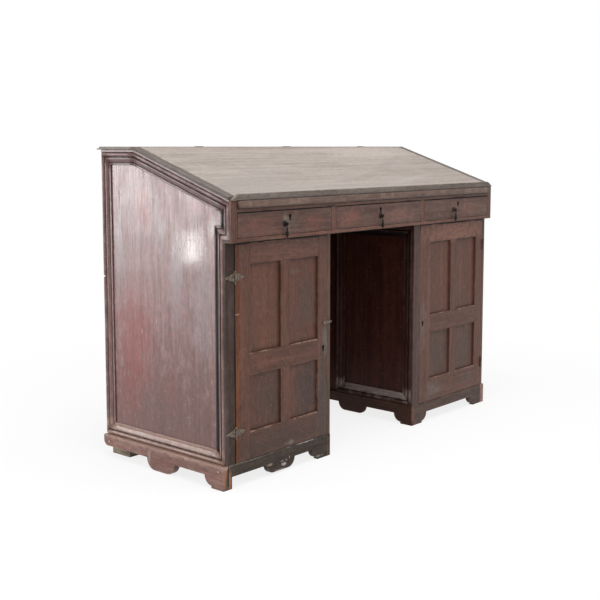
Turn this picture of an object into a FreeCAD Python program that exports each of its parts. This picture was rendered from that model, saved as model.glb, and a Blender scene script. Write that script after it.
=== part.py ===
import FreeCAD, Part
import Sketcher
import math
import os
import re

# Clerk's standing desk: two cupboard pedestals, a frieze of three drawers and a sloping lid over a well.
# Millimetres. X runs along the front, Y from front to back, Z up from the floor; the origin is the
# middle of the plan at floor level.

doc = FreeCAD.newDocument("clerks_standing_desk")
sheet = doc.addObject("Spreadsheet::Sheet", "Dims")

DIMENSIONS = [
    # carcase
    ("width", 1650), ("depth", 680), ("back_height", 1170), ("slope_rise", 167), ("ledge_depth", 185),
    ("frieze_drop", 31), ("frieze_height", 122), ("pedestal_width", 555), ("pedestal_setback", 30),
    ("side_thickness", 18), ("back_thickness", 19), ("back_board_count", 9), ("post_reveal", 9),
    ("post_drop", 2), ("wide_post", 46), ("narrow_post", 19), ("stile_depth", 24), ("seat_gap", 0.3),
    # planted moulding of the sides
    ("moulding_rise", 13), ("bead_width", 16), ("groove_width", 4.5), ("groove_level", 3),
    ("fillet_width", 3), ("fillet_level", 9), ("bevel_width", 13), ("bevel_foot", 4.5), ("quirk_width", 3),
    ("quirk_level", 2), ("inner_fillet", 8), ("inner_level", 5),
    ("kneehole_moulding_length", 410),
    # plinth
    ("plinth_height", 84), ("plinth_projection", 14), ("plinth_front", 20), ("apron_bottom", 42),
    ("lobe_clear", 8), ("side_lobe_clear", 1), ("lobe_width", 148), ("bracket_foot", 60), ("leg_foot", 14),
    ("plinth_end_round", 22), ("plinth_back_set", 4), ("block_length", 100), ("block_width", 60),
    # inside the pedestals
    ("floor_thickness", 14), ("shelf_rise", 386), ("shelf_thickness", 18), ("shelf_setback", 80),
    ("housing_depth", 6),
    # frieze, drawers and well
    ("rail_depth", 60), ("bottom_rail", 14), ("top_rail", 21), ("divider_width", 29),
    ("divider_place", 538.6), ("guide_height", 30), ("well_floor_thickness", 12),
    ("drawer_gap", 1.5), ("drawer_front_thickness", 20), ("drawer_side_thickness", 10),
    ("drawer_side_height", 70), ("drawer_bottom_thickness", 8), ("drawer_bottom_lift", 6),
    ("drawer_back_clear", 20), ("bottom_tongue", 4), ("tail_count", 3), ("tail_length", 14),
    ("tail_neck", 13), ("tail_tip", 18),
    # top
    ("top_thickness", 11), ("top_overhang", 4), ("ledge_back_lip", 17), ("ledge_lip_thickness", 5),
    ("fascia", 9), ("lid_thickness", 14), ("lid_side_gap", 2), ("lid_rest_gap", 0.4), ("lid_joint", 3.4),
    ("lip_depth", 9), ("lip_front", 4), ("lip_height", 22), ("lip_end_set", 5), ("lip_round", 3),
    ("lip_chamfer", 30), ("lip_edge", 5), ("bearer_thickness", 20), ("bearer_height", 45),
    ("ovolo_projection", 10), ("ovolo_seat", 30), ("ovolo_chamfer", 3), ("ovolo_drop", 9),
    ("batten_thickness", 16), ("batten_width", 50), ("batten_place", 450), ("batten_end_set", 70),
    # doors
    ("door_thickness", 22), ("door_gap", 1.5), ("door_foot_gap", 2), ("door_head_gap", 4),
    ("door_stile", 52), ("lock_stile", 76), ("lipping", 20), ("muntin", 46), ("head_rail", 76),
    ("lock_rail_rise", 296), ("lock_rail", 78), ("foot_rail", 98),
    ("panel_recess", 9), ("panel_thickness", 8), ("panel_tongue", 8), ("groove_room", 1),
    ("tenon_length", 24), ("tenon_shoulder", 14),
    # hinges and turn button
    ("knuckle_radius", 3), ("pin_radius", 1.6), ("pin_clearance", 0.05), ("knuckle_gap", 0.4),
    ("knuckle_length", 15), ("axis_lift", 3.2), ("hinge_foot_set", 107), ("hinge_head_set", 115),
    ("surface_leaf", 2), ("butterfly_reach", 46), ("butterfly_height", 34), ("butterfly_tip", 4),
    ("butt_leaf", 1), ("butt_gap", 2.4), ("butt_reach", 18), ("lid_leaf", 1.2), ("lid_leaf_reach", 9),
    ("lid_hinge_place", 500), ("lid_knuckle", 1.5), ("lid_pin", 0.8),
    ("button_place", 20), ("button_rise", 431), ("button_radius", 7), ("button_reach", 38),
    ("button_tip", 4), ("button_thickness", 4), ("button_clear", 0.4), ("button_pin", 2.5),
    ("button_pin_length", 14), ("button_head", 5),
    # locks and pendant pulls
    ("keyhole_radius", 4.5), ("keyhole_slot", 4.5), ("keyhole_drop", 13), ("lock_length", 60),
    ("lock_height", 40), ("lock_case", 12), ("drawer_keyhole_rise", 65), ("left_keyhole_rise", 339),
    ("right_keyhole_rise", 346), ("keyhole_set", 22), ("lock_edge", 6), ("lock_backset", 32),
    ("left_drawer_key", 17), ("left_drawer_pull", -10), ("right_drawer_key", 5), ("right_drawer_pull", -27),
    ("pull_rise", 38), ("rosette_radius", 11), ("rosette_crown", 7.5), ("rosette_thickness", 4),
    ("pull_reach", 10.5), ("lug_thickness", 2), ("lug_height", 7), ("lug_gap", 4.2),
    ("eye_radius", 4), ("eye_wire", 1.5), ("stem_radius", 1.6), ("stem_length", 16),
    ("pear_radius", 6.2), ("pear_length", 18), ("pear_shoulder", 26), ("pear_base", 7),
    ("finial_radius", 2.4), ("finial_drop", 11),
]
for row, (alias, value) in enumerate(DIMENSIONS, start=1):
    sheet.set(f"A{row}", alias)
    sheet.set(f"B{row}", str(value))
    sheet.setAlias(f"B{row}", alias)
doc.recompute()

ALIAS = re.compile(r"[a-z][a-z_]*")
PLANES = {"x": "YZ_Plane", "y": "XZ_Plane", "z": "XY_Plane"}
ROD_TURNS = {
    "x": FreeCAD.Rotation(FreeCAD.Vector(0, 1, 0), 90),
    "y": FreeCAD.Rotation(FreeCAD.Vector(1, 0, 0), -90),
    "z": FreeCAD.Rotation(),
}
nodes = []


def cells(text):
    """The text of a size with every alias written as a cell of the sheet."""
    return ALIAS.sub(lambda word: "Dims." + word.group(0), str(text))


def number(text):
    """The present value of a size in millimetres."""
    return float(sheet.evalExpression(str(text)))


def node(piece):
    """Marks a finished piece for export under its Label."""
    nodes.append(piece)
    return piece


def place(piece, x, y, z):
    """Binds the position of a piece to the sheet."""
    for axis, text in zip("xyz", (x, y, z)):
        piece.setExpression("Placement.Base." + axis, cells(text))


def board(label, x, y, z):
    """A square-edged board between two faces along each axis."""
    box = doc.addObject("Part::Box", label)
    place(box, x[0], y[0], z[0])
    for size, (low, high) in zip(("Length", "Width", "Height"), (x, y, z)):
        box.setExpression(size, cells(f"({high}) - ({low})"))
    return box


def rod(label, along, x, y, z, radius):
    """A round bar along one axis: a pair gives its reach there, and the other two texts its centre."""
    bar = doc.addObject("Part::Cylinder", label)
    bar.Placement = FreeCAD.Placement(FreeCAD.Vector(), ROD_TURNS[along])
    reach = {"x": x, "y": y, "z": z}[along]
    centre = [reach[0] if axis == along else text for axis, text in zip("xyz", (x, y, z))]
    place(bar, *centre)
    bar.setExpression("Radius", cells(radius))
    bar.setExpression("Height", cells(f"({reach[1]}) - ({reach[0]})"))
    return bar


def segment(start, end, radius, turn):
    """A straight or round stretch of an outline; a round one is the shorter arc, turn 1 anticlockwise."""
    if radius is None:
        return Part.LineSegment(FreeCAD.Vector(*start, 0), FreeCAD.Vector(*end, 0))
    along = (end[0] - start[0], end[1] - start[1])
    chord = math.hypot(*along)
    rise = math.sqrt(max(radius ** 2 - chord ** 2 / 4, 0)) / chord * turn
    centre = ((start[0] + end[0]) / 2 - along[1] * rise, (start[1] + end[1]) / 2 + along[0] * rise)
    first, last = (start, end) if turn > 0 else (end, start)
    angles = [math.atan2(point[1] - centre[1], point[0] - centre[0]) for point in (first, last)]
    circle = Part.Circle(FreeCAD.Vector(*centre, 0), FreeCAD.Vector(0, 0, 1), radius)
    return Part.ArcOfCircle(circle, angles[0], angles[1])


def outline_sketch(body, axis, outline):
    """A sketch square to an axis; a point is (across, up), with radius and turn where an arc ends there."""
    sketch = body.newObject("Sketcher::SketchObject", body.Label + "_outline")
    plane = next(item for item in body.Origin.OriginFeatures if item.Role == PLANES[axis])
    sketch.AttachmentSupport = [(plane, "")]
    sketch.MapMode = "FlatFace"
    points = [(number(item[0]), number(item[1])) for item in outline]
    count = len(outline)
    turns = []
    for index in range(count):
        arrival = outline[(index + 1) % count]
        radius = number(arrival[2]) if len(arrival) > 2 else None
        turn = arrival[3] if len(arrival) > 2 else 1
        sketch.addGeometry(segment(points[index], points[(index + 1) % count], radius, turn), False)
        turns.append(turn)
        if radius is not None:
            fixed = sketch.addConstraint(Sketcher.Constraint("Radius", index, radius))
            sketch.setExpression(f"Constraints[{fixed}]", cells(arrival[2]))
    for index in range(count):
        following = (index + 1) % count
        end = 2 if turns[index] > 0 else 1
        start = 1 if turns[following] > 0 else 2
        sketch.addConstraint(Sketcher.Constraint("Coincident", index, end, following, start))
    for index in range(count):
        start = 1 if turns[index] > 0 else 2
        for kind, text, value in zip(("DistanceX", "DistanceY"), outline[index], points[index]):
            fixed = sketch.addConstraint(Sketcher.Constraint(kind, index, start, value))
            sketch.setExpression(f"Constraints[{fixed}]", cells(text))
    return sketch


def prism(label, axis, outline, low, high):
    """A board sawn to an outline, running from low to high along an axis."""
    body = doc.addObject("PartDesign::Body", label)
    sketch = outline_sketch(body, axis, outline)
    offset = f"-({high})" if axis == "y" else low
    sketch.setExpression("AttachmentOffset.Base.z", cells(offset))
    pad = body.newObject("PartDesign::Pad", label + "_pad")
    pad.Profile = sketch
    pad.setExpression("Length", cells(f"({high}) - ({low})"))
    return body


def fuse(label, *pieces):
    """One piece worked from several shapes."""
    whole = doc.addObject("Part::MultiFuse", label)
    whole.Shapes = list(pieces)
    return whole


def cut(label, base, *tools):
    """A piece with holes or recesses cut in it."""
    whole = doc.addObject("Part::Cut", label)
    whole.Base = base
    whole.Tool = tools[0] if len(tools) == 1 else fuse(f"{label}_cutter", *tools)
    return whole


def group(label, *pieces):
    """Separate like pieces kept under one name."""
    whole = doc.addObject("Part::Compound", label)
    whole.Links = list(pieces)
    return whole


def span(crest, sign, near, far):
    """Two faces at distances near and far from a crest plane, on the side that sign points to."""
    low, high = (near, far) if sign > 0 else (far, near)
    return f"{crest} + ({sign}) * ({low})", f"{crest} + ({sign}) * ({high})"


def shift(crest, sign, distance):
    """A place at a distance from a crest plane, on the side that sign points to."""
    return f"{crest} + ({sign}) * ({distance})"


# Reference planes of the carcase
front_height = "(back_height - slope_rise)"
frieze_top = f"({front_height} - frieze_drop)"
frieze_bottom = f"({frieze_top} - frieze_height)"
door_z = ("(plinth_height + door_foot_gap)", f"({frieze_bottom} - door_head_gap)")
left_x = "(-width / 2)"
right_x = "(width / 2)"
front_y = "(-depth / 2)"
pedestal_y = "(-depth / 2 + pedestal_setback)"
back_y = "(depth / 2 - back_thickness)"
rear_y = "(depth / 2)"
break_y = "(depth / 2 - ledge_depth)"
post_back_y = f"({pedestal_y} + door_thickness + seat_gap)"
side_depth = "(moulding_rise + side_thickness)"
ledge_under = "(back_height - top_thickness)"
inside_x = (f"{left_x} + {side_depth}", f"{right_x} - {side_depth}")
rail_y = (front_y, f"{front_y} + rail_depth")
behind_rail_y = (f"{front_y} + rail_depth", back_y)
pedestals = [
    ("left", left_x, f"({left_x} + pedestal_width)"),
    ("right", f"({right_x} - pedestal_width)", right_x),
]


def slope(y, drop):
    """Height of the writing slope at a depth, less a plumb drop."""
    return f"(back_height - ({break_y} - ({y})) * slope_rise / (depth - ledge_depth) - ({drop}))"


lid_front_y = f"({front_y} + lip_depth)"
lip_seat = slope(lid_front_y, "lid_thickness")

# One shelf in each pedestal, housed in its two walls
shelf_z = ("(plinth_height + shelf_rise)", "(plinth_height + shelf_rise + shelf_thickness)")
shelves = {
    label: board(f"{label}_shelf",
                 (f"{low_x} + {side_depth} - housing_depth", f"{high_x} - {side_depth} + housing_depth"),
                 (f"{pedestal_y} + shelf_setback", back_y), shelf_z)
    for label, low_x, high_x in pedestals
}
node(group("cupboard_shelves", *shelves.values()))

# The four upright walls: outer sides rise to the slope and ledge, kneehole sides stop under the deck.
# A wall is known by its crest, the plane of its moulding's highest line, and by the way into its pedestal.
outer_walls = [("left_side", left_x, 1), ("right_side", right_x, -1)]
kneehole_walls = [
    ("left_kneehole", f"({left_x} + pedestal_width)", -1),
    ("right_kneehole", f"({right_x} - pedestal_width)", 1),
]

for (label, crest, sign), shelf in zip(outer_walls, shelves.values()):
    stile_back_y = f"({front_y} + stile_depth)"
    blank = prism(f"{label}_blank", "x", [
        (post_back_y, "apron_bottom"),
        (rear_y, "apron_bottom"),
        (rear_y, ledge_under),
        (break_y, ledge_under),
        (stile_back_y, slope(stile_back_y, "top_thickness")),
        (stile_back_y, frieze_bottom),
        (post_back_y, frieze_bottom),
    ], *span(crest, sign, "moulding_rise", side_depth))
    node(cut(f"{label}_board", blank, shelf))

for (label, crest, sign), shelf in zip(kneehole_walls, shelves.values()):
    blank = board(f"{label}_blank", span(crest, sign, "moulding_rise", side_depth),
                  (post_back_y, back_y), ("apron_bottom", frieze_bottom))
    node(cut(f"{label}_board", blank, shelf))


# Mitred moulding planted on the walls: half-round bead, groove, fillet, bevel, quirk and an inner fillet.
# Each length is the profile run along one edge of the outline and sawn off at the mitres of its corners.

def moulding_profile(at):
    """The closed profile; at(inward, rise) gives a point that far in from the edge and out from the board."""
    bead = number("bead_width")
    radius = bead / 2
    spring = number("moulding_rise") - radius
    groove_end = bead + number("groove_width")
    fillet_end = groove_end + number("fillet_width")
    bevel_end = fillet_end + number("bevel_width")
    quirk_end = bevel_end + number("quirk_width")
    foot = quirk_end + number("inner_fillet")
    corners = [
        (bead, spring), (bead, number("groove_level")), (groove_end, number("groove_level")),
        (groove_end, number("fillet_level")), (fillet_end, number("fillet_level")),
        (bevel_end, number("bevel_foot")), (bevel_end, number("quirk_level")),
        (quirk_end, number("quirk_level")), (quirk_end, number("inner_level")),
        (foot, number("inner_level")), (foot, 0), (0, 0), (0, spring),
    ]
    crown = Part.Arc(at(0, spring), at(radius, spring + radius), at(bead, spring)).toShape()
    edges = [Part.makeLine(at(*first), at(*last)) for first, last in zip(corners, corners[1:])]
    return Part.Face(Part.Wire([crown] + edges)), foot


def mitred_lengths(outline, board_x, outward):
    """The lengths of a closed moulding; the outline is its outer edge, walked with the inside on the left."""
    corners = [FreeCAD.Vector(0, number(y), number(z)) for y, z in outline]
    count = len(corners)
    runs = [corners[(index + 1) % count] - corners[index] for index in range(count)]
    inward = [FreeCAD.Vector(0, -run.z, run.y).normalize() for run in runs]
    mitres = [(inward[index - 1] + inward[index]) * (1 / (1 + inward[index - 1].dot(inward[index])))
              for index in range(count)]
    origin = FreeCAD.Vector(number(board_x), 0, 0)
    out = FreeCAD.Vector(outward, 0, 0)
    rise = number("moulding_rise")
    lengths = []
    for index in range(count):
        start = corners[index] + origin
        end = corners[(index + 1) % count] + origin
        section, reach = moulding_profile(lambda u, n: start + inward[index] * u + out * n)
        along = FreeCAD.Vector(runs[index]).normalize()
        stock = section.copy()
        stock.translate(along * -reach)
        stock = stock.extrude(along * (runs[index].Length + 2 * reach))
        near, far = mitres[index], mitres[(index + 1) % count]
        wedge = Part.makePolygon([start, end, end + far * reach, start + near * reach, start])
        lengths.append(stock.common(Part.Face(wedge).extrude(out * rise)))
    return lengths


def moulding(label, crest, sign, outline):
    """The mitred moulding of one wall."""
    piece = doc.addObject("Part::Feature", label)
    piece.Shape = Part.makeCompound(mitred_lengths(outline, shift(crest, sign, "moulding_rise"), -sign))
    return node(piece)


fascia_drop = "(top_thickness + fascia)"
pedestal_reveal_y = f"({pedestal_y} + post_reveal)"
frieze_reveal_y = f"({front_y} + post_reveal)"
for label, crest, sign in outer_walls:
    moulding(f"{label}_moulding", crest, sign, [
        (pedestal_reveal_y, "plinth_height"),
        (rear_y, "plinth_height"),
        (rear_y, f"back_height - {fascia_drop}"),
        (break_y, f"back_height - {fascia_drop}"),
        (frieze_reveal_y, slope(frieze_reveal_y, fascia_drop)),
        (frieze_reveal_y, f"{frieze_bottom} + post_reveal"),
        (pedestal_reveal_y, f"{frieze_bottom} + post_reveal"),
    ])
for label, crest, sign in kneehole_walls:
    moulding_back_y = f"{pedestal_reveal_y} + kneehole_moulding_length"
    moulding(f"{label}_moulding", crest, sign, [
        (pedestal_reveal_y, "plinth_height"),
        (moulding_back_y, "plinth_height"),
        (moulding_back_y, f"{frieze_bottom} - post_reveal"),
        (pedestal_reveal_y, f"{frieze_bottom} - post_reveal"),
    ])

# Cap strip on the sloping edge of each outer side, with the fascia that runs on under the ledge
cap_front_y = f"({lid_front_y} + lid_rest_gap)"
for label, crest, sign in outer_walls:
    cap = prism(f"{label}_cap_strip", "x", [
        (cap_front_y, slope(cap_front_y, "top_thickness")),
        (break_y, ledge_under),
        (break_y, "back_height"),
        (cap_front_y, slope(cap_front_y, "0")),
    ], *span(crest, sign, "-top_overhang", side_depth))
    strip = prism(f"{label}_fascia", "x", [
        (cap_front_y, slope(cap_front_y, fascia_drop)),
        (break_y, f"back_height - {fascia_drop}"),
        (rear_y, f"back_height - {fascia_drop}"),
        (rear_y, ledge_under),
        (break_y, ledge_under),
        (cap_front_y, slope(cap_front_y, "top_thickness")),
    ], *span(crest, sign, "post_drop", "moulding_rise"))
    node(fuse(f"{label}_cap", cap, strip))


# Front posts, each rebated behind its face for the edge of the moulding
def rebated_post(label, crest, sign, width, face_y, back, low, high):
    """An upright of L section: its face runs out over the moulding's edge, its tail stands on the board."""
    return prism(label, "z", [
        (shift(crest, sign, "post_drop"), face_y),
        (shift(crest, sign, width), face_y),
        (shift(crest, sign, width), back),
        (shift(crest, sign, "moulding_rise"), back),
        (shift(crest, sign, "moulding_rise"), f"{face_y} + post_reveal"),
        (shift(crest, sign, "post_drop"), f"{face_y} + post_reveal"),
    ], low, high)


post_z = ("plinth_height", frieze_bottom)
node(rebated_post("left_hinge_post", *outer_walls[0][1:], "wide_post", pedestal_y, post_back_y, *post_z))
node(rebated_post("right_lock_post", *kneehole_walls[1][1:], "wide_post", pedestal_y, post_back_y, *post_z))
node(group("narrow_posts", *[
    rebated_post(f"{label}_narrow_post", crest, sign, "narrow_post", pedestal_y, post_back_y, *post_z)
    for label, crest, sign in (kneehole_walls[0], outer_walls[1])
]))

# End stiles of the frieze, each with the return that closes the step under the side moulding
stiles = []
for label, crest, sign in outer_walls:
    upright = rebated_post(f"{label}_frieze_upright", crest, sign, side_depth, front_y,
                           f"{front_y} + stile_depth", frieze_bottom, f"{lip_seat} - lid_rest_gap")
    step = board(f"{label}_frieze_return", span(crest, sign, "post_drop", "moulding_rise"),
                 (frieze_reveal_y, pedestal_reveal_y), (frieze_bottom, f"{frieze_bottom} + post_reveal"))
    stiles.append(fuse(f"{label}_frieze_stile", upright, step))
node(group("frieze_stiles", *stiles))

# Plinth boards with sawn aprons: bracket feet, a centre lobe and rounded back ends
scroll = "(apron_bottom - lobe_clear)"
apron = "apron_bottom"


def bracket_at_start(edge):
    """The foot, riser and quarter round at the low end of an apron."""
    foot = f"{edge} + bracket_foot"
    return [(edge, "0"), (foot, "0"), (foot, "lobe_clear"), (f"{foot} + {scroll}", apron, scroll, 1)]


def bracket_at_end(edge):
    """The quarter round, riser and foot at the high end of an apron."""
    foot = f"{edge} - bracket_foot"
    return [(f"{foot} - {scroll}", apron), (foot, "lobe_clear", scroll, 1), (foot, "0"), (edge, "0")]


def leg_at_start(edge):
    """A plain square leg at the low end of an apron."""
    return [(edge, "0"), (f"{edge} + leg_foot", "0"), (f"{edge} + leg_foot", apron)]


def lobe(centre, clear):
    """The hanging lobe in the middle of an apron; clear is its height above the floor."""
    drop = f"({apron} - {clear})"
    return [
        (f"{centre} - lobe_width / 2", apron),
        (f"{centre} - lobe_width / 2 + {drop}", clear, drop, 1),
        (f"{centre} + lobe_width / 2 - {drop}", clear),
        (f"{centre} + lobe_width / 2", apron, drop, 1),
    ]


def rounded_end(edge):
    """The rounded back end of a side plinth."""
    return [
        (f"{edge} - plinth_end_round", apron),
        (edge, f"{apron} + plinth_end_round", "plinth_end_round", 1),
    ]


def top_edge(low, high):
    """The straight upper edge of a plinth board."""
    return [(high, "plinth_height"), (low, "plinth_height")]


plinth_end_y = "(depth / 2 - plinth_back_set)"
side_lobe_y = f"({pedestal_y} + {plinth_end_y}) / 2"


def wall_plinth(label, clear, x):
    """The plinth board along a wall, with a bracket foot, a lobe and a rounded end."""
    return prism(label, "x", bracket_at_start(pedestal_y) + lobe(side_lobe_y, clear)
                 + rounded_end(plinth_end_y) + top_edge(pedestal_y, plinth_end_y), *x)


for label, crest, sign in outer_walls:
    plinth_x = span(crest, sign, "-plinth_projection", "moulding_rise")
    node(wall_plinth(f"{label}_plinth", "side_lobe_clear", plinth_x))
node(group("kneehole_plinths", *[
    wall_plinth(f"{label}_plinth", "lobe_clear", span(crest, sign, "0", "moulding_rise"))
    for label, crest, sign in kneehole_walls
]))

plinth_y = (pedestal_y, f"{pedestal_y} + plinth_front")
for label, low_x, high_x in pedestals:
    low_end = f"({low_x} + moulding_rise)"
    high_end = f"({high_x} - moulding_rise)"
    if label == "left":
        lower_edge = leg_at_start(low_end) + lobe(f"({low_end} + {high_end}) / 2", "lobe_clear")
    else:
        lower_edge = bracket_at_start(low_end)
    edge = lower_edge + bracket_at_end(high_end) + top_edge(low_end, high_end)
    node(prism(f"{label}_front_plinth", "y", edge, *plinth_y))

# Floor of each pedestal and the rough blocks that carry its back corners
floor_z = ("plinth_height - floor_thickness", "plinth_height")
floors = []
blocks = []
for label, low_x, high_x in pedestals:
    room_x = (f"{low_x} + {side_depth}", f"{high_x} - {side_depth}")
    floors.append(board(f"{label}_floor", room_x, (plinth_y[1], back_y), floor_z))
    block_y = (f"{rear_y} - block_length", rear_y)
    for end, block_x in (("low", (room_x[0], f"{room_x[0]} + block_width")),
                         ("high", (f"{room_x[1]} - block_width", room_x[1]))):
        blocks.append(board(f"{label}_block_{end}", block_x, block_y, ("0", floor_z[0])))
node(group("cupboard_floors", *floors))
node(group("foot_blocks", *blocks))

# Back of upright boards between the outer sides, nailed over the back edges of the kneehole walls
board_width = f"((width - 2 * {side_depth}) / back_board_count)"
node(group("back_boards", *[
    board(f"back_board_{index + 1}",
          (f"{inside_x[0]} + {index} * {board_width}", f"{inside_x[0]} + {index + 1} * {board_width}"),
          (back_y, rear_y), ("plinth_height", ledge_under))
    for index in range(round(number("back_board_count")))
]))

# Frieze rails, the deck that the drawers run on, dividers, guides and the floor of the well
deck_top = f"({frieze_bottom} + bottom_rail)"
drawer_top = f"({frieze_top} - top_rail)"
node(board("frieze_bottom_rail", inside_x, rail_y, (frieze_bottom, deck_top)))
node(board("drawer_deck", inside_x, behind_rail_y, (frieze_bottom, deck_top)))
node(board("frieze_top_rail", inside_x, rail_y, (drawer_top, frieze_top)))
node(board("well_floor", inside_x, behind_rail_y, (drawer_top, f"{drawer_top} + well_floor_thickness")))
divider_centres = [f"({left_x} + divider_place)", f"({right_x} - divider_place)"]
dividers = []
for label, centre in zip(("left", "right"), divider_centres):
    divider_x = (f"{centre} - divider_width / 2", f"{centre} + divider_width / 2")
    dividers.append(board(f"{label}_divider", divider_x, rail_y, (deck_top, drawer_top)))
    guide_z = (deck_top, f"{deck_top} + guide_height")
    dividers.append(board(f"{label}_guide", divider_x, behind_rail_y, guide_z))
node(group("drawer_dividers", *dividers))

# Ledge board at the back of the top, with a thin lip below its back edge and a bearer under its front edge
node(board("ledge_bearer", inside_x, (break_y, f"{break_y} + bearer_thickness"),
           (f"{ledge_under} - bearer_height", ledge_under)))
lip_y = "depth / 2 + ledge_back_lip"
node(prism("ledge_board", "x", [
    (break_y, ledge_under),
    (lip_y, ledge_under),
    (lip_y, f"{ledge_under} + ledge_lip_thickness"),
    ("depth / 2 + top_overhang", f"{ledge_under} + ledge_lip_thickness"),
    ("depth / 2 + top_overhang", "back_height"),
    (break_y, "back_height"),
], f"{left_x} - top_overhang", f"{right_x} + top_overhang"))

# Writing lid: sloping board, front ovolo that hangs over the frieze rail, book-stop lip and two battens
lid_x = (f"{inside_x[0]} + lid_side_gap", f"{inside_x[1]} - lid_side_gap")
lid_back_y = f"({break_y} - lid_joint)"
node(prism("lid_board", "x", [
    (lid_front_y, lip_seat),
    (lid_back_y, slope(lid_back_y, "lid_thickness")),
    (lid_back_y, slope(lid_back_y, "0")),
    (lid_front_y, slope(lid_front_y, "0")),
], *lid_x))

ovolo_foot = f"({frieze_top} + lid_rest_gap)"
ovolo_tip = f"({frieze_top} - ovolo_drop)"
ovolo_back_y = f"({front_y} - lid_rest_gap)"
ovolo_round = "(ovolo_projection - lid_rest_gap)"
seat_y = f"({front_y} + ovolo_seat)"
node(prism("lid_ovolo", "x", [
    (seat_y, ovolo_foot),
    (seat_y, slope(seat_y, "lid_thickness")),
    (lid_front_y, lip_seat),
    (f"{front_y} - ovolo_projection + ovolo_chamfer", lip_seat),
    (f"{front_y} - ovolo_projection", f"{lip_seat} - ovolo_chamfer"),
    (f"{front_y} - ovolo_projection", f"{ovolo_tip} + {ovolo_round}"),
    (ovolo_back_y, ovolo_tip, ovolo_round, 1),
    (ovolo_back_y, ovolo_foot),
], *lid_x))

lip_x = (f"({left_x} + lip_end_set)", f"({right_x} - lip_end_set)")
lip_front_y = f"({front_y} - lip_front)"
lip_top = f"({lip_seat} + lip_height)"
lip_bar = prism("lid_lip_bar", "x", [
    (lip_front_y, lip_seat),
    (lid_front_y, lip_seat),
    (lid_front_y, f"{lip_top} - lip_round"),
    (f"{lid_front_y} - lip_round", lip_top, "lip_round", 1),
    (f"{lip_front_y} + lip_round", lip_top),
    (lip_front_y, f"{lip_top} - lip_round", "lip_round", 1),
], *lip_x)
node(cut("lid_lip", lip_bar, *[
    prism(f"lid_lip_{label}_slant", "y", [
        (end, f"{lip_seat} + lip_edge"),
        (shift(end, sign, "lip_chamfer"), lip_top),
        (end, lip_top),
    ], lip_front_y, lid_front_y)
    for label, end, sign in (("left", lip_x[0], 1), ("right", lip_x[1], -1))
]))

batten_y = (f"({front_y} + batten_end_set)", f"({break_y} - batten_end_set)")
batten_drop = "lid_thickness + batten_thickness"
node(group("lid_battens", *[
    prism(f"{label}_batten", "x", [
        (batten_y[0], slope(batten_y[0], batten_drop)),
        (batten_y[1], slope(batten_y[1], batten_drop)),
        (batten_y[1], slope(batten_y[1], "lid_thickness")),
        (batten_y[0], slope(batten_y[0], "lid_thickness")),
    ], f"({sign}) * batten_place - batten_width / 2", f"({sign}) * batten_place + batten_width / 2")
    for label, sign in (("left", -1), ("right", 1))
]))


# Hinges: the fixed leaf has the outer knuckles and the pin, the moving leaf the middle knuckle
def knuckle_spans(centre):
    """The spans of the low, middle and high knuckles of a hinge along its axis."""
    half = "knuckle_length / 2"
    low = (f"{centre} - 3 * {half} - knuckle_gap", f"{centre} - {half} - knuckle_gap")
    high = (f"{centre} + {half} + knuckle_gap", f"{centre} + 3 * {half} + knuckle_gap")
    return low, (f"{centre} - {half}", f"{centre} + {half}"), high


def knuckled_leaf(label, along, centre, axis, plate, tab, fixed, radius="knuckle_radius", pin="pin_radius"):
    """A leaf with its knuckles; tab(span) is the neck that joins a knuckle to the plate."""
    low, middle, high = knuckle_spans(centre)
    spans = (low, high) if fixed else (middle,)

    def barrel(name, reach, size):
        where = [reach if text is None else text for text in axis]
        return rod(f"{label}_{name}", along, *where, size)

    pieces = [plate]
    for index, reach in enumerate(spans):
        pieces.append(board(f"{label}_neck_{index + 1}", *tab(reach)))
        pieces.append(barrel(f"knuckle_{index + 1}", reach, radius))
    if fixed:
        return fuse(label, *pieces, barrel("pin", (low[0], high[1]), pin))
    blank = fuse(f"{label}_blank", *pieces)
    return cut(label, blank, barrel("bore", (low[0], high[1]), f"{pin} + pin_clearance"))


# Butt hinges in the joint between the lid and the ledge, their axis level with the top
lid_axis_y = f"({break_y} - lid_joint / 2)"
lid_plate_z = ("back_height - lid_leaf_reach", "back_height - lid_knuckle - knuckle_gap")
lid_neck_z = ("back_height - lid_knuckle - 2 * knuckle_gap", "back_height")
for label, leaf_y, fixed in (("lid_hinge_bases", (f"{break_y} - lid_leaf", break_y), True),
                             ("lid_hinge_leaves", (lid_back_y, f"{lid_back_y} + lid_leaf"), False)):
    leaves = []
    for name, centre in (("left", "(-lid_hinge_place)"), ("middle", "0"),
                         ("right", "lid_hinge_place")):
        low, middle, high = knuckle_spans(centre)
        plate = board(f"{label}_{name}_plate", (low[0], high[1]), leaf_y, lid_plate_z)
        leaves.append(knuckled_leaf(f"{label}_{name}", "x", centre, (None, lid_axis_y, "back_height"), plate,
                                    lambda reach: (reach, leaf_y, lid_neck_z), fixed,
                                    "lid_knuckle", "lid_pin"))
    node(group(label, *leaves))

door_heights = (("low", f"({door_z[0]} + hinge_foot_set)"), ("high", f"({door_z[1]} - hinge_head_set)"))
door_axis_y = f"({pedestal_y} - axis_lift)"

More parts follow.
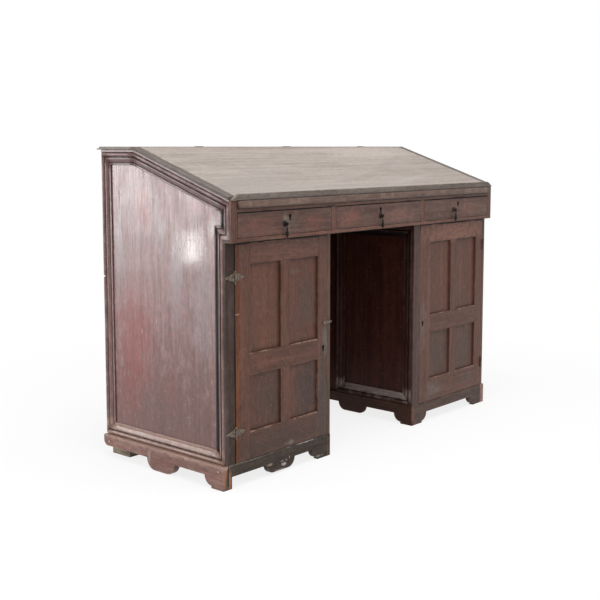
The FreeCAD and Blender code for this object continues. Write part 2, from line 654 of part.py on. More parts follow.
# Butterfly hinges laid on the face of the left door and its post
left_axis_x = f"({left_x} + wide_post + door_gap / 2)"
leaf_face_y = (f"{pedestal_y} - surface_leaf", pedestal_y)
for label, sign, fixed in (("left_hinge_bases", -1, True), ("left_hinge_leaves", 1, False)):
    leaves = []
    for name, height in door_heights:
        root_x = shift(left_axis_x, sign, "(knuckle_radius + knuckle_gap)")
        tip_x = shift(left_axis_x, sign, "butterfly_reach")
        plate = prism(f"{label}_{name}_plate", "y", [
            (root_x, f"{height} - butterfly_height / 2"),
            (tip_x, f"{height} - butterfly_tip / 2"),
            (tip_x, f"{height} + butterfly_tip / 2"),
            (root_x, f"{height} + butterfly_height / 2"),
        ], *leaf_face_y)
        neck_x = span(left_axis_x, sign, "0", "knuckle_radius + 2 * knuckle_gap")
        leaves.append(knuckled_leaf(f"{label}_{name}", "z", height, (left_axis_x, door_axis_y, None), plate,
                                    lambda reach: (neck_x, leaf_face_y, reach), fixed))
    node(group(label, *leaves))

# Butt hinges in the joint between the right door and its narrow post
right_post_x = f"({right_x} - narrow_post)"
right_axis_x = f"({right_post_x} - butt_gap / 2)"
right_door_x = f"({right_post_x} - butt_gap)"
butt_plate_y = (f"{door_axis_y} + knuckle_radius + knuckle_gap", f"{pedestal_y} + butt_reach")
for label, leaf_x, fixed in (("right_hinge_bases", (f"{right_post_x} - butt_leaf", right_post_x), True),
                             ("right_hinge_leaves", (right_door_x, f"{right_door_x} + butt_leaf"), False)):
    leaves = []
    for name, height in door_heights:
        low, middle, high = knuckle_spans(height)
        plate = board(f"{label}_{name}_plate", leaf_x, butt_plate_y, (low[0], high[1]))
        neck_y = (door_axis_y, f"{door_axis_y} + knuckle_radius + 2 * knuckle_gap")
        leaves.append(knuckled_leaf(f"{label}_{name}", "z", height, (right_axis_x, door_axis_y, None), plate,
                                    lambda reach: (leaf_x, neck_y, reach), fixed))
    node(group(label, *leaves))


def keyhole(label, x, z, y):
    """A round-headed keyhole as a cutter through a board that spans y."""
    head = rod(f"{label}_head", "y", x, y, z, "keyhole_radius")
    slot = board(f"{label}_slot", (f"{x} - keyhole_slot / 2", f"{x} + keyhole_slot / 2"), y,
                 (f"{z} - keyhole_drop", z))
    return fuse(label, head, slot)


# Doors: two stiles, three rails tenoned into them, two stub-tenoned muntins and four panels held in grooves
door_y = (pedestal_y, f"{pedestal_y} + door_thickness")
panel_y = (f"{pedestal_y} + panel_recess", f"{pedestal_y} + panel_recess + panel_thickness")
lock_y = (door_y[1], f"{door_y[1]} + lock_case")
rail_heights = [
    ("foot", door_z[0], f"({door_z[0]} + foot_rail)"),
    ("lock", f"({door_z[0]} + lock_rail_rise)", f"({door_z[0]} + lock_rail_rise + lock_rail)"),
    ("head", f"({door_z[1]} - head_rail)", door_z[1]),
]


def in_groove(x, z, depth):
    """The spans of a panel, or of its groove, that runs a depth into the frame all round an opening."""
    return (f"{x[0]} - {depth}", f"{x[1]} + {depth}"), panel_y, (f"{z[0]} - {depth}", f"{z[1]} + {depth}")


def door(label, low_x, high_x, low_stile, high_stile, holes):
    """A framed door; holes lists the cutters for what is bored in each stile."""
    inner_x = (f"({low_x} + {low_stile})", f"({high_x} - {high_stile})")
    middle = f"({inner_x[0]} + {inner_x[1]}) / 2"
    muntin_x = (f"({middle} - muntin / 2)", f"({middle} + muntin / 2)")
    openings = [(name, (low, high)) for (name, _, low), (_, high, _) in zip(rail_heights, rail_heights[1:])]
    panels = []
    grooves = []
    stubs = []
    for name, z in openings:
        for side, x in (("low", (inner_x[0], muntin_x[0])), ("high", (muntin_x[1], inner_x[1]))):
            groove = in_groove(x, z, "(panel_tongue + groove_room)")
            panels.append(board(f"{label}_panel_{name}_{side}", *in_groove(x, z, "panel_tongue")))
            grooves.append(board(f"{label}_groove_{name}_{side}", *groove))
        stub_x = (f"{muntin_x[0]} + tenon_shoulder", f"{muntin_x[1]} - tenon_shoulder")
        stub_z = (f"{z[0]} - panel_tongue", f"{z[1]} + panel_tongue")
        stubs.append(board(f"{label}_stub_{name}", stub_x, panel_y, stub_z))
    tenon_x = (f"{inner_x[0]} - tenon_length", f"{inner_x[1]} + tenon_length")
    tenons = [
        board(f"{label}_tenon_{name}", tenon_x, panel_y,
              (f"{low} + tenon_shoulder", f"{high} - tenon_shoulder"))
        for name, low, high in rail_heights
    ]
    members = []
    for side, x in (("low", (low_x, inner_x[0])), ("high", (inner_x[1], high_x))):
        stile = board(f"{label}_stile_{side}_blank", x, door_y, door_z)
        members.append(cut(f"{label}_stile_{side}", stile, *grooves, *tenons, *holes.get(side, [])))
    for (name, low, high), tenon in zip(rail_heights, tenons):
        bar = board(f"{label}_rail_{name}_bar", inner_x, door_y, (low, high))
        rail = fuse(f"{label}_rail_{name}_blank", bar, tenon)
        members.append(cut(f"{label}_rail_{name}", rail, *grooves, *stubs))
    for (name, z), stub in zip(openings, stubs):
        bar = board(f"{label}_muntin_{name}_bar", muntin_x, door_y, z)
        muntin = fuse(f"{label}_muntin_{name}_blank", bar, stub)
        members.append(cut(f"{label}_muntin_{name}", muntin, *grooves))
    node(group(f"{label}_frame", *members))
    node(group(f"{label}_panels", *panels))


def door_lock(label, x, sign, z):
    """A lock case screwed to the back of a stile; sign points from the door's edge to its middle."""
    node(board(label, span(x, sign, "-lock_edge", "lock_backset"), lock_y,
               (f"{z} - lock_length / 2", f"{z} + lock_length / 2")))


# Left door, hung at its left edge by the butterfly hinges; the hinge edge has a lipping
left_door_x = (f"({left_x} + wide_post + door_gap)",
               f"({left_x} + pedestal_width - narrow_post - door_gap)")
left_keyhole_x = f"({left_door_x[1]} - keyhole_set)"
left_keyhole_z = f"({door_z[0]} + left_keyhole_rise)"
button_x = f"({left_door_x[1]} - button_place)"
button_z = f"({door_z[0]} + button_rise)"
lipping_x = (left_door_x[0], f"({left_door_x[0]} + lipping)")
door("left_door", lipping_x[1], left_door_x[1], "door_stile", "door_stile", {"high": [
    keyhole("left_door_keyhole", left_keyhole_x, left_keyhole_z, door_y),
    rod("left_door_button_bore", "y", button_x, door_y, button_z, "button_pin + pin_clearance"),
]})
node(board("left_door_lipping", lipping_x, door_y, door_z))
door_lock("left_door_lock", left_keyhole_x, -1, left_keyhole_z)

# Turn button on the left door, its tail lying over the edge of the lock post
button_y = (f"{pedestal_y} - button_clear - button_thickness", f"{pedestal_y} - button_clear")
tail_x = f"({button_x} + button_reach)"
bar = prism("left_door_button_bar", "y", [
    (button_x, f"{button_z} - button_radius", "button_radius", 1),
    (tail_x, f"{button_z} - button_tip"),
    (f"{tail_x} + button_tip", button_z, "button_tip", 1),
    (tail_x, f"{button_z} + button_tip", "button_tip", 1),
    (button_x, f"{button_z} + button_radius"),
    (f"{button_x} - button_radius", button_z, "button_radius", 1),
], *button_y)
pivot = rod("left_door_button_pin", "y", button_x, (button_y[0], f"{pedestal_y} + button_pin_length"),
            button_z, "button_pin")
screw_head = rod("left_door_button_head", "y", button_x, (f"{button_y[0]} - button_clear", button_y[0]),
                 button_z, "button_head")
node(fuse("left_door_button", bar, pivot, screw_head))

# Right door, hung at its right edge by the butt hinges
right_low_x = f"({right_x} - pedestal_width + wide_post + door_gap)"
right_keyhole_x = f"({right_low_x} + keyhole_set)"
right_keyhole_z = f"({door_z[0]} + right_keyhole_rise)"
door("right_door", right_low_x, right_door_x, "lock_stile", "door_stile", {"low": [
    keyhole("right_door_keyhole", right_keyhole_x, right_keyhole_z, door_y),
]})
door_lock("right_door_lock", right_keyhole_x, 1, right_keyhole_z)

# Drawers: front with keyhole, box with its sides dovetailed into the front, lock case, rosette with its pin,
# and the pendant that hangs on the pin
front_z = (f"{deck_top} + drawer_gap", f"({drawer_top} - drawer_gap)")
front_board_y = (front_y, f"({front_y} + drawer_front_thickness)")
box_back_y = f"({back_y} - drawer_back_clear)"
box_z = (f"({deck_top} + seat_gap)", f"({deck_top} + seat_gap + drawer_side_height)")
bottom_under = f"({box_z[0]} + drawer_bottom_lift)"
bottom_z = (bottom_under, f"({bottom_under} + drawer_bottom_thickness)")
pull_y = f"({front_y} - pull_reach)"
pull_z = f"({deck_top} + pull_rise)"
pull_pin = "(eye_radius - eye_wire - pin_clearance)"


def rosette(label, x):
    """A bevelled round plate with two lugs and the pin between them."""
    plate = doc.addObject("Part::Cone", f"{label}_plate")
    plate.Placement = FreeCAD.Placement(FreeCAD.Vector(), FreeCAD.Rotation(FreeCAD.Vector(1, 0, 0), 90))
    place(plate, x, front_y, pull_z)
    plate.setExpression("Radius1", cells("rosette_radius"))
    plate.setExpression("Radius2", cells("rosette_crown"))
    plate.setExpression("Height", cells("rosette_thickness"))
    lugs = [
        board(f"{label}_lug_{name}", span(x, sign, "lug_gap / 2", "lug_gap / 2 + lug_thickness"),
              (f"{pull_y} - {pull_pin}", f"{front_y} - rosette_thickness"),
              (f"{pull_z} - lug_height / 2", f"{pull_z} + lug_height / 2"))
        for name, sign in (("low", -1), ("high", 1))
    ]
    pin = rod(f"{label}_pin", "x", (f"{x} - lug_gap / 2", f"{x} + lug_gap / 2"), pull_y, pull_z, pull_pin)
    return fuse(label, plate, *lugs, pin)


def pendant(label, x):
    """A turned pear drop under a wire eye."""
    drop = doc.addObject("PartDesign::Body", f"{label}_drop")
    shoulder = "-(eye_radius + stem_length)"
    belly = f"({shoulder} - pear_length)"
    neck = f"({belly} - pear_base)"
    sketch = outline_sketch(drop, "y", [
        ("0", "-eye_radius"),
        ("0", f"{belly} - finial_drop"),
        ("finial_radius", f"{belly} - finial_drop + finial_radius", "finial_radius", 1),
        ("finial_radius", neck),
        ("pear_radius", belly, "pear_base", 1),
        ("stem_radius", shoulder, "pear_shoulder", -1),
        ("stem_radius", "-eye_radius"),
    ])
    turning = drop.newObject("PartDesign::Revolution", f"{label}_turning")
    turning.Profile = sketch
    turning.ReferenceAxis = (sketch, ["V_Axis"])
    turning.Angle = 360
    place(drop, x, pull_y, pull_z)
    eye = doc.addObject("Part::Torus", f"{label}_eye")
    eye.Placement = FreeCAD.Placement(FreeCAD.Vector(), ROD_TURNS["x"])
    place(eye, x, pull_y, pull_z)
    eye.setExpression("Radius1", cells("eye_radius"))
    eye.setExpression("Radius2", cells("eye_wire"))
    return fuse(label, drop, eye)


def dovetailed_side(label, x, bottom):
    """A drawer side with the tails on its front end, wider at their tips, and the groove for the bottom."""
    pitch = "(drawer_side_height / tail_count)"
    tip_y = f"({front_board_y[1]} - tail_length)"
    tails = []
    for index in range(round(number("tail_count"))):
        middle = f"({box_z[0]} + ({index} + 1 / 2) * {pitch})"
        tails.append(prism(f"{label}_tail_{index + 1}", "x", [
            (tip_y, f"{middle} - tail_tip / 2"),
            (front_board_y[1], f"{middle} - tail_neck / 2"),
            (front_board_y[1], f"{middle} + tail_neck / 2"),
            (tip_y, f"{middle} + tail_tip / 2"),
        ], *x))
    plain = board(f"{label}_plain", x, (front_board_y[1], box_back_y), box_z)
    return cut(label, fuse(f"{label}_blank", plain, *tails), bottom), tails


drawers = [
    ("left_drawer", inside_x[0], f"{divider_centres[0]} - divider_width / 2",
     "left_drawer_key", "left_drawer_pull"),
    ("middle_drawer", f"{divider_centres[0]} + divider_width / 2",
     f"{divider_centres[1]} - divider_width / 2", "0", "0"),
    ("right_drawer", f"{divider_centres[1]} + divider_width / 2", inside_x[1],
     "right_drawer_key", "right_drawer_pull"),
]
for label, low_x, high_x, key_shift, pull_shift in drawers:
    drawer_x = (f"({low_x} + drawer_gap)", f"({high_x} - drawer_gap)")
    centre = f"(({drawer_x[0]} + {drawer_x[1]}) / 2)"
    key_x = f"({centre} + {key_shift})"
    pull_x = f"({centre} + {pull_shift})"
    between_x = (f"({drawer_x[0]} + drawer_side_thickness)", f"({drawer_x[1]} - drawer_side_thickness)")
    bottom = board(f"{label}_bottom", (f"{between_x[0]} - bottom_tongue", f"{between_x[1]} + bottom_tongue"),
                   (f"{front_board_y[1]} - bottom_tongue", box_back_y), bottom_z)
    low_side, low_tails = dovetailed_side(f"{label}_side_low", (drawer_x[0], between_x[0]), bottom)
    high_side, high_tails = dovetailed_side(f"{label}_side_high", (between_x[1], drawer_x[1]), bottom)
    back = board(f"{label}_back", between_x, (f"{box_back_y} - drawer_side_thickness", box_back_y),
                 (bottom_z[1], box_z[1]))
    node(group(f"{label}_box", low_side, high_side, back, bottom))
    opening = keyhole(f"{label}_keyhole", key_x, f"({deck_top} + drawer_keyhole_rise)", front_board_y)
    blank = board(f"{label}_front_blank", drawer_x, front_board_y, front_z)
    node(cut(f"{label}_front", blank, opening, bottom, *low_tails, *high_tails))
    lock = board(f"{label}_lock", (f"{key_x} - lock_length / 2", f"{key_x} + lock_length / 2"),
                 (front_board_y[1], f"{front_board_y[1]} + lock_case"),
                 (f"{front_z[1]} - lock_height", front_z[1]))
    node(group(f"{label}_ironwork", lock, rosette(f"{label}_rosette", pull_x)))
    node(pendant(f"{label}_pendant", pull_x))

doc.recompute()

for item in doc.Objects:
    if "Invalid" in item.State or "Error" in item.State:
        raise RuntimeError(f"{item.Label}: {item.State}")
os.makedirs("parts", exist_ok=True)
for piece in nodes:
    if piece.Shape.isNull() or not piece.Shape.isValid():
        raise RuntimeError(f"{piece.Label} has no valid shape")
    piece.Shape.exportStep(f"parts/{piece.Label}.step")
print(len(nodes), "nodes", sum(len(piece.Shape.Solids) for piece in nodes), "solids")
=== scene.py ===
import math

import bpy
import numpy as np
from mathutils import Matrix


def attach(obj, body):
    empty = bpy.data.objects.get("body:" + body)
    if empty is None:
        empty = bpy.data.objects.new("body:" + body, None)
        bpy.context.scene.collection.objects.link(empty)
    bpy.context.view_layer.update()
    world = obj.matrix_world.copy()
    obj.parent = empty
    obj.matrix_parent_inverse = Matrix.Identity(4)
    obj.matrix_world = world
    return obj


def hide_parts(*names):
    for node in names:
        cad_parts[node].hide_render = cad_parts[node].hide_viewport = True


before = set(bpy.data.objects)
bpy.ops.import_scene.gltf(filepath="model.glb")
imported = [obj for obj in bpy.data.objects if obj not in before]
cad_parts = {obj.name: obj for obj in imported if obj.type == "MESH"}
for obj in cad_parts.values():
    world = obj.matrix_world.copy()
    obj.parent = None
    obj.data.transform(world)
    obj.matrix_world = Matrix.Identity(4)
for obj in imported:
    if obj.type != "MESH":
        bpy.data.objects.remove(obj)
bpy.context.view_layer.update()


# Side walls. Four wide boards of stained mahogany stand upright, the outer two sawn to the writing slope.
# They are planed and housed for the shelves and the back; the polish on them has bloomed to a grey haze.

OUTER_X = 0.812
INNER_X = 0.794
KNEE_X = 0.283
CUPBOARD_X = 0.301
POST_BACK_Y = -0.2877
STILE_BACK_Y = -0.316
BACK_Y = 0.321
REAR_Y = 0.340
BREAK_Y = 0.155
TOP_Z = 1.170
FRIEZE_Z = 0.850
WALL_FOOT_Z = 0.042
UNDER_TOP = 0.011
SLOPE = 0.167 / 0.495
STEP = 0.0003
CROSS_AXES = {"x": (0, 1, 2), "y": (1, 2, 0), "z": (2, 0, 1)}
draw = np.random.default_rng(1874)


def slope_z(y):
    """Height of the writing slope: a straight fall from the ledge's front edge towards the front."""
    return TOP_Z - (BREAK_Y - np.asarray(y, float)) * SLOPE


def wander(place, length, starts):
    """Slow unevenness of hand work: three sine waves added, the second 2.3 and the third 5.1 times as short
    and as weak as the first, over 1.6."""
    parts = [np.sin(2 * np.pi * (place * rate / length + start)) / rate
             for rate, start in zip((1.0, 2.3, 5.1), starts)]
    return np.sum(parts, axis=0) / 1.6


def strip_quads(rows, count):
    """Four-sided faces between neighbouring closed rows of a grid of rows by count points."""
    row, col = np.meshgrid(np.arange(rows - 1), np.arange(count), indexing="ij")
    after = (col + 1) % count
    return np.stack([row * count + col, row * count + after,
                     (row + 1) * count + after, (row + 1) * count + col], axis=-1).reshape(-1, 4)


def shell(points, arris_and_highlight, grime_and_shade, grain):
    """A closed skin from a grid of closed rows, with a flat face on the first and last row.

    Its faces are turned outwards when the sum of the signed volumes of its triangles is negative.
    """
    rows, count = points.shape[:2]
    flat = points.reshape(-1, 3)
    quads = strip_quads(rows, count)
    caps = [np.arange(count)[::-1], (rows - 1) * count + np.arange(count)]
    fans = [np.stack([np.full(count - 2, cap[0]), cap[1:-1], cap[2:]], axis=1) for cap in caps]
    triangles = np.concatenate([quads[:, [0, 1, 2]], quads[:, [0, 2, 3]]] + fans)
    corner = flat[triangles] - flat.mean(axis=0)
    volume = np.einsum("ij,ij->i", corner[:, 0], np.cross(corner[:, 1], corner[:, 2])).sum()
    if volume < 0:
        quads = quads[:, ::-1]
        caps = [cap[::-1] for cap in caps]
    return {"points": flat, "quads": quads, "caps": caps, "grain": grain.reshape(-1, 3),
            "arris_and_highlight": np.broadcast_to(arris_and_highlight, (rows, count)).ravel(),
            "grime_and_shade": np.broadcast_to(grime_and_shade, (rows, count)).ravel(),
            "tone": np.full(len(flat), draw.uniform(-1, 1))}


def board(along, x, y, z, ease=0.0012, end_ease=None, stations=None, faces=None, sunk=False, spacing=0.05,
          rub_and_highlight=(1, 1, 1, 1), end_rub=1):
    """A planed board: a rectangle with rounded corners carried along one axis.

    The rounding's radius wanders along the length. At each end the rectangle draws in on a quarter circle of
    the end radius and a flat face closes it. faces(s) may give the four sides at each station s. One setting
    gives how far each long corner is worn, and on the doors' rails also how pale the upper corner is painted
    as a highlight; another gives how far each end is worn. A sunk board is not worn but painted with shade
    along its edges, where the frame stands over it.
    """
    axis, first, second = CROSS_AXES[along]
    spans = (x, y, z)
    low, high = spans[axis]
    end_ease = ease if end_ease is None else end_ease
    # a sunk board's painted shade spreads over wider bands from its edges
    bands = (0.004, 0.018) if sunk else (0.0014, 0.006)
    turn = np.radians([90, 60, 30, 0])
    margin = np.array(bands) * min(1.0, (high - low) / 0.06)
    head = np.concatenate([end_ease * (1 - np.sin(turn)), end_ease + margin])
    draw_in = np.concatenate([end_ease * (1 - np.cos(turn)), [0, 0]])
    rim = end_rub * np.array([1, 1, 1, 1, 0.3, 0])
    if stations is None:
        gaps = max(2, int(round((high - low) / spacing)))
        stations = np.linspace(low + head[-1], high - head[-1], gaps + 1)[1:-1]
    place = np.concatenate([low + head, stations, high - head[::-1]])
    inset = np.concatenate([draw_in, np.zeros(len(stations)), draw_in[::-1]])
    end_rim = np.concatenate([rim, np.zeros(len(stations)), rim[::-1]])
    sides = faces(place) if faces else (*spans[first], *spans[second])
    low_a, high_a, low_b, high_b = (np.broadcast_to(side, place.shape) for side in sides)
    low_a, high_a, low_b, high_b = low_a + inset, high_a - inset, low_b + inset, high_b - inset
    radius = ease * (1 + 0.45 * wander(place, 0.4, draw.uniform(0, 1, 3)))
    radius = np.clip(radius - inset, 0.00015, 0.45 * np.minimum(high_a - low_a, high_b - low_b))

    rows_a, rows_b, marks = [], [], []
    corners = ((low_a, low_b, 1, 1, 180), (high_a, low_b, -1, 1, 270), (high_a, high_b, -1, -1, 0),
               (low_a, high_b, 1, -1, 90))
    for index, (edge_a, edge_b, sign_a, sign_b, begin) in enumerate(corners):
        angle = np.radians(begin + np.array([0, 30, 60, 90]))
        rows_a.append((edge_a + sign_a * radius)[:, None] + radius[:, None] * np.cos(angle))
        rows_b.append((edge_b + sign_b * radius)[:, None] + radius[:, None] * np.sin(angle))
        marks.append(np.full(4, rub_and_highlight[index]))
        length = (high_a - low_a if index % 2 == 0 else high_b - low_b) - 2 * radius
        near, far = (np.minimum(band, part * length) for band, part in zip(bands, (0.2, 0.35)))
        inner = max(1, int(length.max() / spacing))
        middle = far[:, None] + (length - 2 * far)[:, None] * np.linspace(0, 1, inner + 2)[1:-1]
        run = np.concatenate([near[:, None], far[:, None], middle, (length - far)[:, None],
                              (length - near)[:, None]], axis=1)
        step_a, step_b = ((1, 0), (0, 1), (-1, 0), (0, -1))[index]
        rows_a.append(rows_a[-1][:, -1:] + step_a * run)
        rows_b.append(rows_b[-1][:, -1:] + step_b * run)
        marks.append(np.concatenate([[0.3 * rub_and_highlight[index]], np.zeros(inner + 2), [0.3 * rub_and_highlight[(index + 1) % 4]]]))
    across, through = np.concatenate(rows_a, axis=1), np.concatenate(rows_b, axis=1)
    points = np.zeros(across.shape + (3,))
    points[..., axis] = place[:, None]
    points[..., first] = across
    points[..., second] = through
    mark = np.maximum(np.concatenate(marks)[None, :], end_rim[:, None])
    grain = np.stack([points[..., axis], across, through], axis=-1) + draw.uniform(-9, 9, 3)
    none = np.zeros(1)
    return shell(points, none if sunk else mark, mark if sunk else none, grain)


def piece(name, shells, body, slot, finish, *nodes):
    """One object from closed skins, with the grain, the corners' wear and painted highlight, the soiling and
    painted shade, and the tone of each point as attributes.
    """
    sizes = np.array([len(part["points"]) for part in shells])
    shifts = np.concatenate([[0], np.cumsum(sizes)[:-1]])
    points = np.concatenate([part["points"] for part in shells])
    loops = [row for part, shift in zip(shells, shifts)
             for row in [(part["quads"] + shift).ravel()] + [cap + shift for cap in part["caps"]]]
    totals = [total for part in shells
              for total in [np.full(len(part["quads"]), 4), [len(cap) for cap in part["caps"]]]]
    totals = np.concatenate(totals).astype(np.int32)
    corners = np.concatenate(loops).astype(np.int32)
    mesh = bpy.data.meshes.new(name)
    mesh.vertices.add(len(points))
    mesh.vertices.foreach_set("co", points.astype(np.float32).ravel())
    mesh.loops.add(len(corners))
    mesh.loops.foreach_set("vertex_index", corners)
    mesh.polygons.add(len(totals))
    mesh.polygons.foreach_set("loop_start", np.concatenate([[0], np.cumsum(totals)[:-1]]).astype(np.int32))
    mesh.polygons.foreach_set("use_smooth", np.ones(len(totals), bool))
    mesh.update(calc_edges=True)
    for mark in ("arris_and_highlight", "grime_and_shade", "tone"):
        values = np.concatenate([part[mark] for part in shells]).astype(np.float32)
        mesh.attributes.new(mark, "FLOAT", "POINT").data.foreach_set("value", values)
    grain = np.concatenate([part["grain"] for part in shells]).astype(np.float32)
    mesh.attributes.new("grain", "FLOAT_VECTOR", "POINT").data.foreach_set("vector", grain.ravel())
    mesh.materials.append(finish)
    made = bpy.data.objects.new(name, mesh)
    bpy.context.scene.collection.objects.link(made)
    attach(made, body)
    if nodes:
        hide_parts(*nodes)


def wire(tree, kind, feeds=None, **settings):
    """Adds a node to a finish; feeds gives each of its sockets a value or another node's output."""
    node = tree.nodes.new(kind)
    for setting, value in settings.items():
        setattr(node, setting, value)
    for socket, source in (feeds or {}).items():
        if isinstance(source, bpy.types.NodeSocket):
            tree.links.new(source, node.inputs[socket])
        else:
            node.inputs[socket].default_value = source
    return node


def cloud(tree, vector, scale, detail=3.0, rough=0.55):
    """Soft noise, stretched by a different scale along each axis."""
    turned = wire(tree, "ShaderNodeMapping", {"Vector": vector, "Scale": scale})
    return wire(tree, "ShaderNodeTexNoise", {"Vector": turned.outputs[0], "Scale": 1.0, "Detail": detail,
                                             "Roughness": rough}).outputs["Fac"]


def rise(tree, value, low, high):
    """A smooth step from 0 at low to 1 at high; low may be the larger one."""
    return wire(tree, "ShaderNodeMapRange", {"Value": value, "From Min": low, "From Max": high},
                interpolation_type="SMOOTHSTEP").outputs[0]


def between(tree, value, first, last, low=0.0, high=1.0):
    """A straight run from first, where the value is low, to last, where it is high."""
    return wire(tree, "ShaderNodeMapRange", {"Value": value, "From Min": low, "From Max": high,
                                             "To Min": first, "To Max": last}).outputs[0]


def sums(tree, operation, *values):
    """Arithmetic of two values."""
    return wire(tree, "ShaderNodeMath", dict(enumerate(values)), operation=operation).outputs[0]


def tint(tree, share, under, over, mode="MIX"):
    """One colour laid over another by a share."""
    return wire(tree, "ShaderNodeMix", {0: share, 6: under, 7: over}, data_type="RGBA",
                blend_type=mode).outputs[2]


def new_group(name, takes, gives):
    """An empty shader group with its named sockets, and its two end nodes."""
    tree = bpy.data.node_groups.new(name, "ShaderNodeTree")
    for label, kind in takes:
        tree.interface.new_socket(label, in_out="INPUT", socket_type=kind)
    for label in gives:
        tree.interface.new_socket(label, in_out="OUTPUT", socket_type="NodeSocketFloat")
    return tree, tree.nodes.new("NodeGroupInput"), tree.nodes.new("NodeGroupOutput")


# wood_figure: bands of early and late wood, fine fibre, open pores, flecks and broad clouding, all drawn
# out along the first grain axis
wood_figure, figure_in, figure_out = new_group("wood_figure", [("Grain", "NodeSocketVector")],
                                               ["Streak", "Fibre", "Pores", "Fleck", "Cloud"])
grain_in = figure_in.outputs["Grain"]
figure = {
    "Streak": cloud(wood_figure, grain_in, (1.6, 46.0, 46.0), 4.0, 0.62),
    "Fibre": cloud(wood_figure, grain_in, (9.0, 420.0, 420.0), 2.0, 0.5),
    "Pores": rise(wood_figure, cloud(wood_figure, grain_in, (38.0, 1100.0, 1100.0), 1.0, 0.4), 0.60, 0.72),
    "Fleck": cloud(wood_figure, grain_in, (34.0, 84.0, 84.0), 5.0, 0.76),
    "Cloud": cloud(wood_figure, grain_in, (5.5, 14.0, 14.0), 6.0, 0.74),
}
for label, socket in figure.items():
    wood_figure.links.new(socket, figure_out.inputs[label])

# The edge wear group: rubbed arrises and painted highlights, soiling in hollows and painted shade in gaps,
# recesses and under overhangs, and small pale nicks, broken up by noise in object space
edge_wear_and_shade, wear_in, wear_out = new_group(
    "edge_wear_and_shade", [("ArrisAndHighlight", "NodeSocketFloat"), ("GrimeAndShade", "NodeSocketFloat"), ("Place", "NodeSocketVector")],
    ["BareAndHighlight", "DirtAndShade", "Nicks"])
place_in = wear_in.outputs["Place"]
patchy = cloud(edge_wear_and_shade, place_in, (21.0, 21.0, 21.0), 4.0, 0.65)
gritty = cloud(edge_wear_and_shade, place_in, (160.0, 160.0, 160.0), 2.0, 0.6)
specks = rise(edge_wear_and_shade, cloud(edge_wear_and_shade, place_in, (190.0, 190.0, 120.0), 2.0, 0.6), 0.62, 0.68)
uneven = sums(edge_wear_and_shade, "ADD", patchy, sums(edge_wear_and_shade, "MULTIPLY", gritty, 0.35))
lodged_and_shaded = sums(edge_wear_and_shade, "MULTIPLY", wear_in.outputs["GrimeAndShade"], rise(edge_wear_and_shade, patchy, 0.14, 0.58))
wear = {
    "BareAndHighlight": sums(edge_wear_and_shade, "MULTIPLY", wear_in.outputs["ArrisAndHighlight"], rise(edge_wear_and_shade, uneven, 0.60, 0.95)),
    "DirtAndShade": sums(edge_wear_and_shade, "MINIMUM", lodged_and_shaded, 1.0),
    "Nicks": sums(edge_wear_and_shade, "MULTIPLY", specks, rise(edge_wear_and_shade, patchy, 0.50, 0.62)),
}
for label, socket in wear.items():
    edge_wear_and_shade.links.new(socket, wear_out.inputs[label])


def smear(tree, place, centre, reach, turn):
    """A soft patch with a ragged edge: the distance from its centre, over its reach along each axis after a
    turn about the upright axis, is broken by noise and stepped from 1 inside to 0 outside."""
    local = wire(tree, "ShaderNodeMapping", {"Vector": place, "Location": centre, "Rotation": (0, 0, turn),
                                             "Scale": reach}, vector_type="TEXTURE")
    away = wire(tree, "ShaderNodeVectorMath", {0: local.outputs[0]}, operation="LENGTH").outputs["Value"]
    ragged = sums(tree, "MULTIPLY", cloud(tree, place, (45.0, 45.0, 24.0), 6.0, 0.72), 2.2)
    return rise(tree, sums(tree, "ADD", away, ragged), 2.1, 1.3)


def new_finish(name, shine):
    """A finish of one shader: gives the finish, its tree, the shader and the place on the piece."""
    made = bpy.data.materials.new(name)
    made.use_nodes = True
    tree = made.node_tree
    surface = tree.nodes["Principled BSDF"]
    surface.inputs["Specular IOR Level"].default_value = shine
    return made, tree, surface, wire(tree, "ShaderNodeTexCoord").outputs["Object"]


# near-black soiling colour, which also paints shade in gaps, recesses and under overhangs
MAHOGANY_DIRT_AND_SHADE = (0.012, 0.007, 0.006)


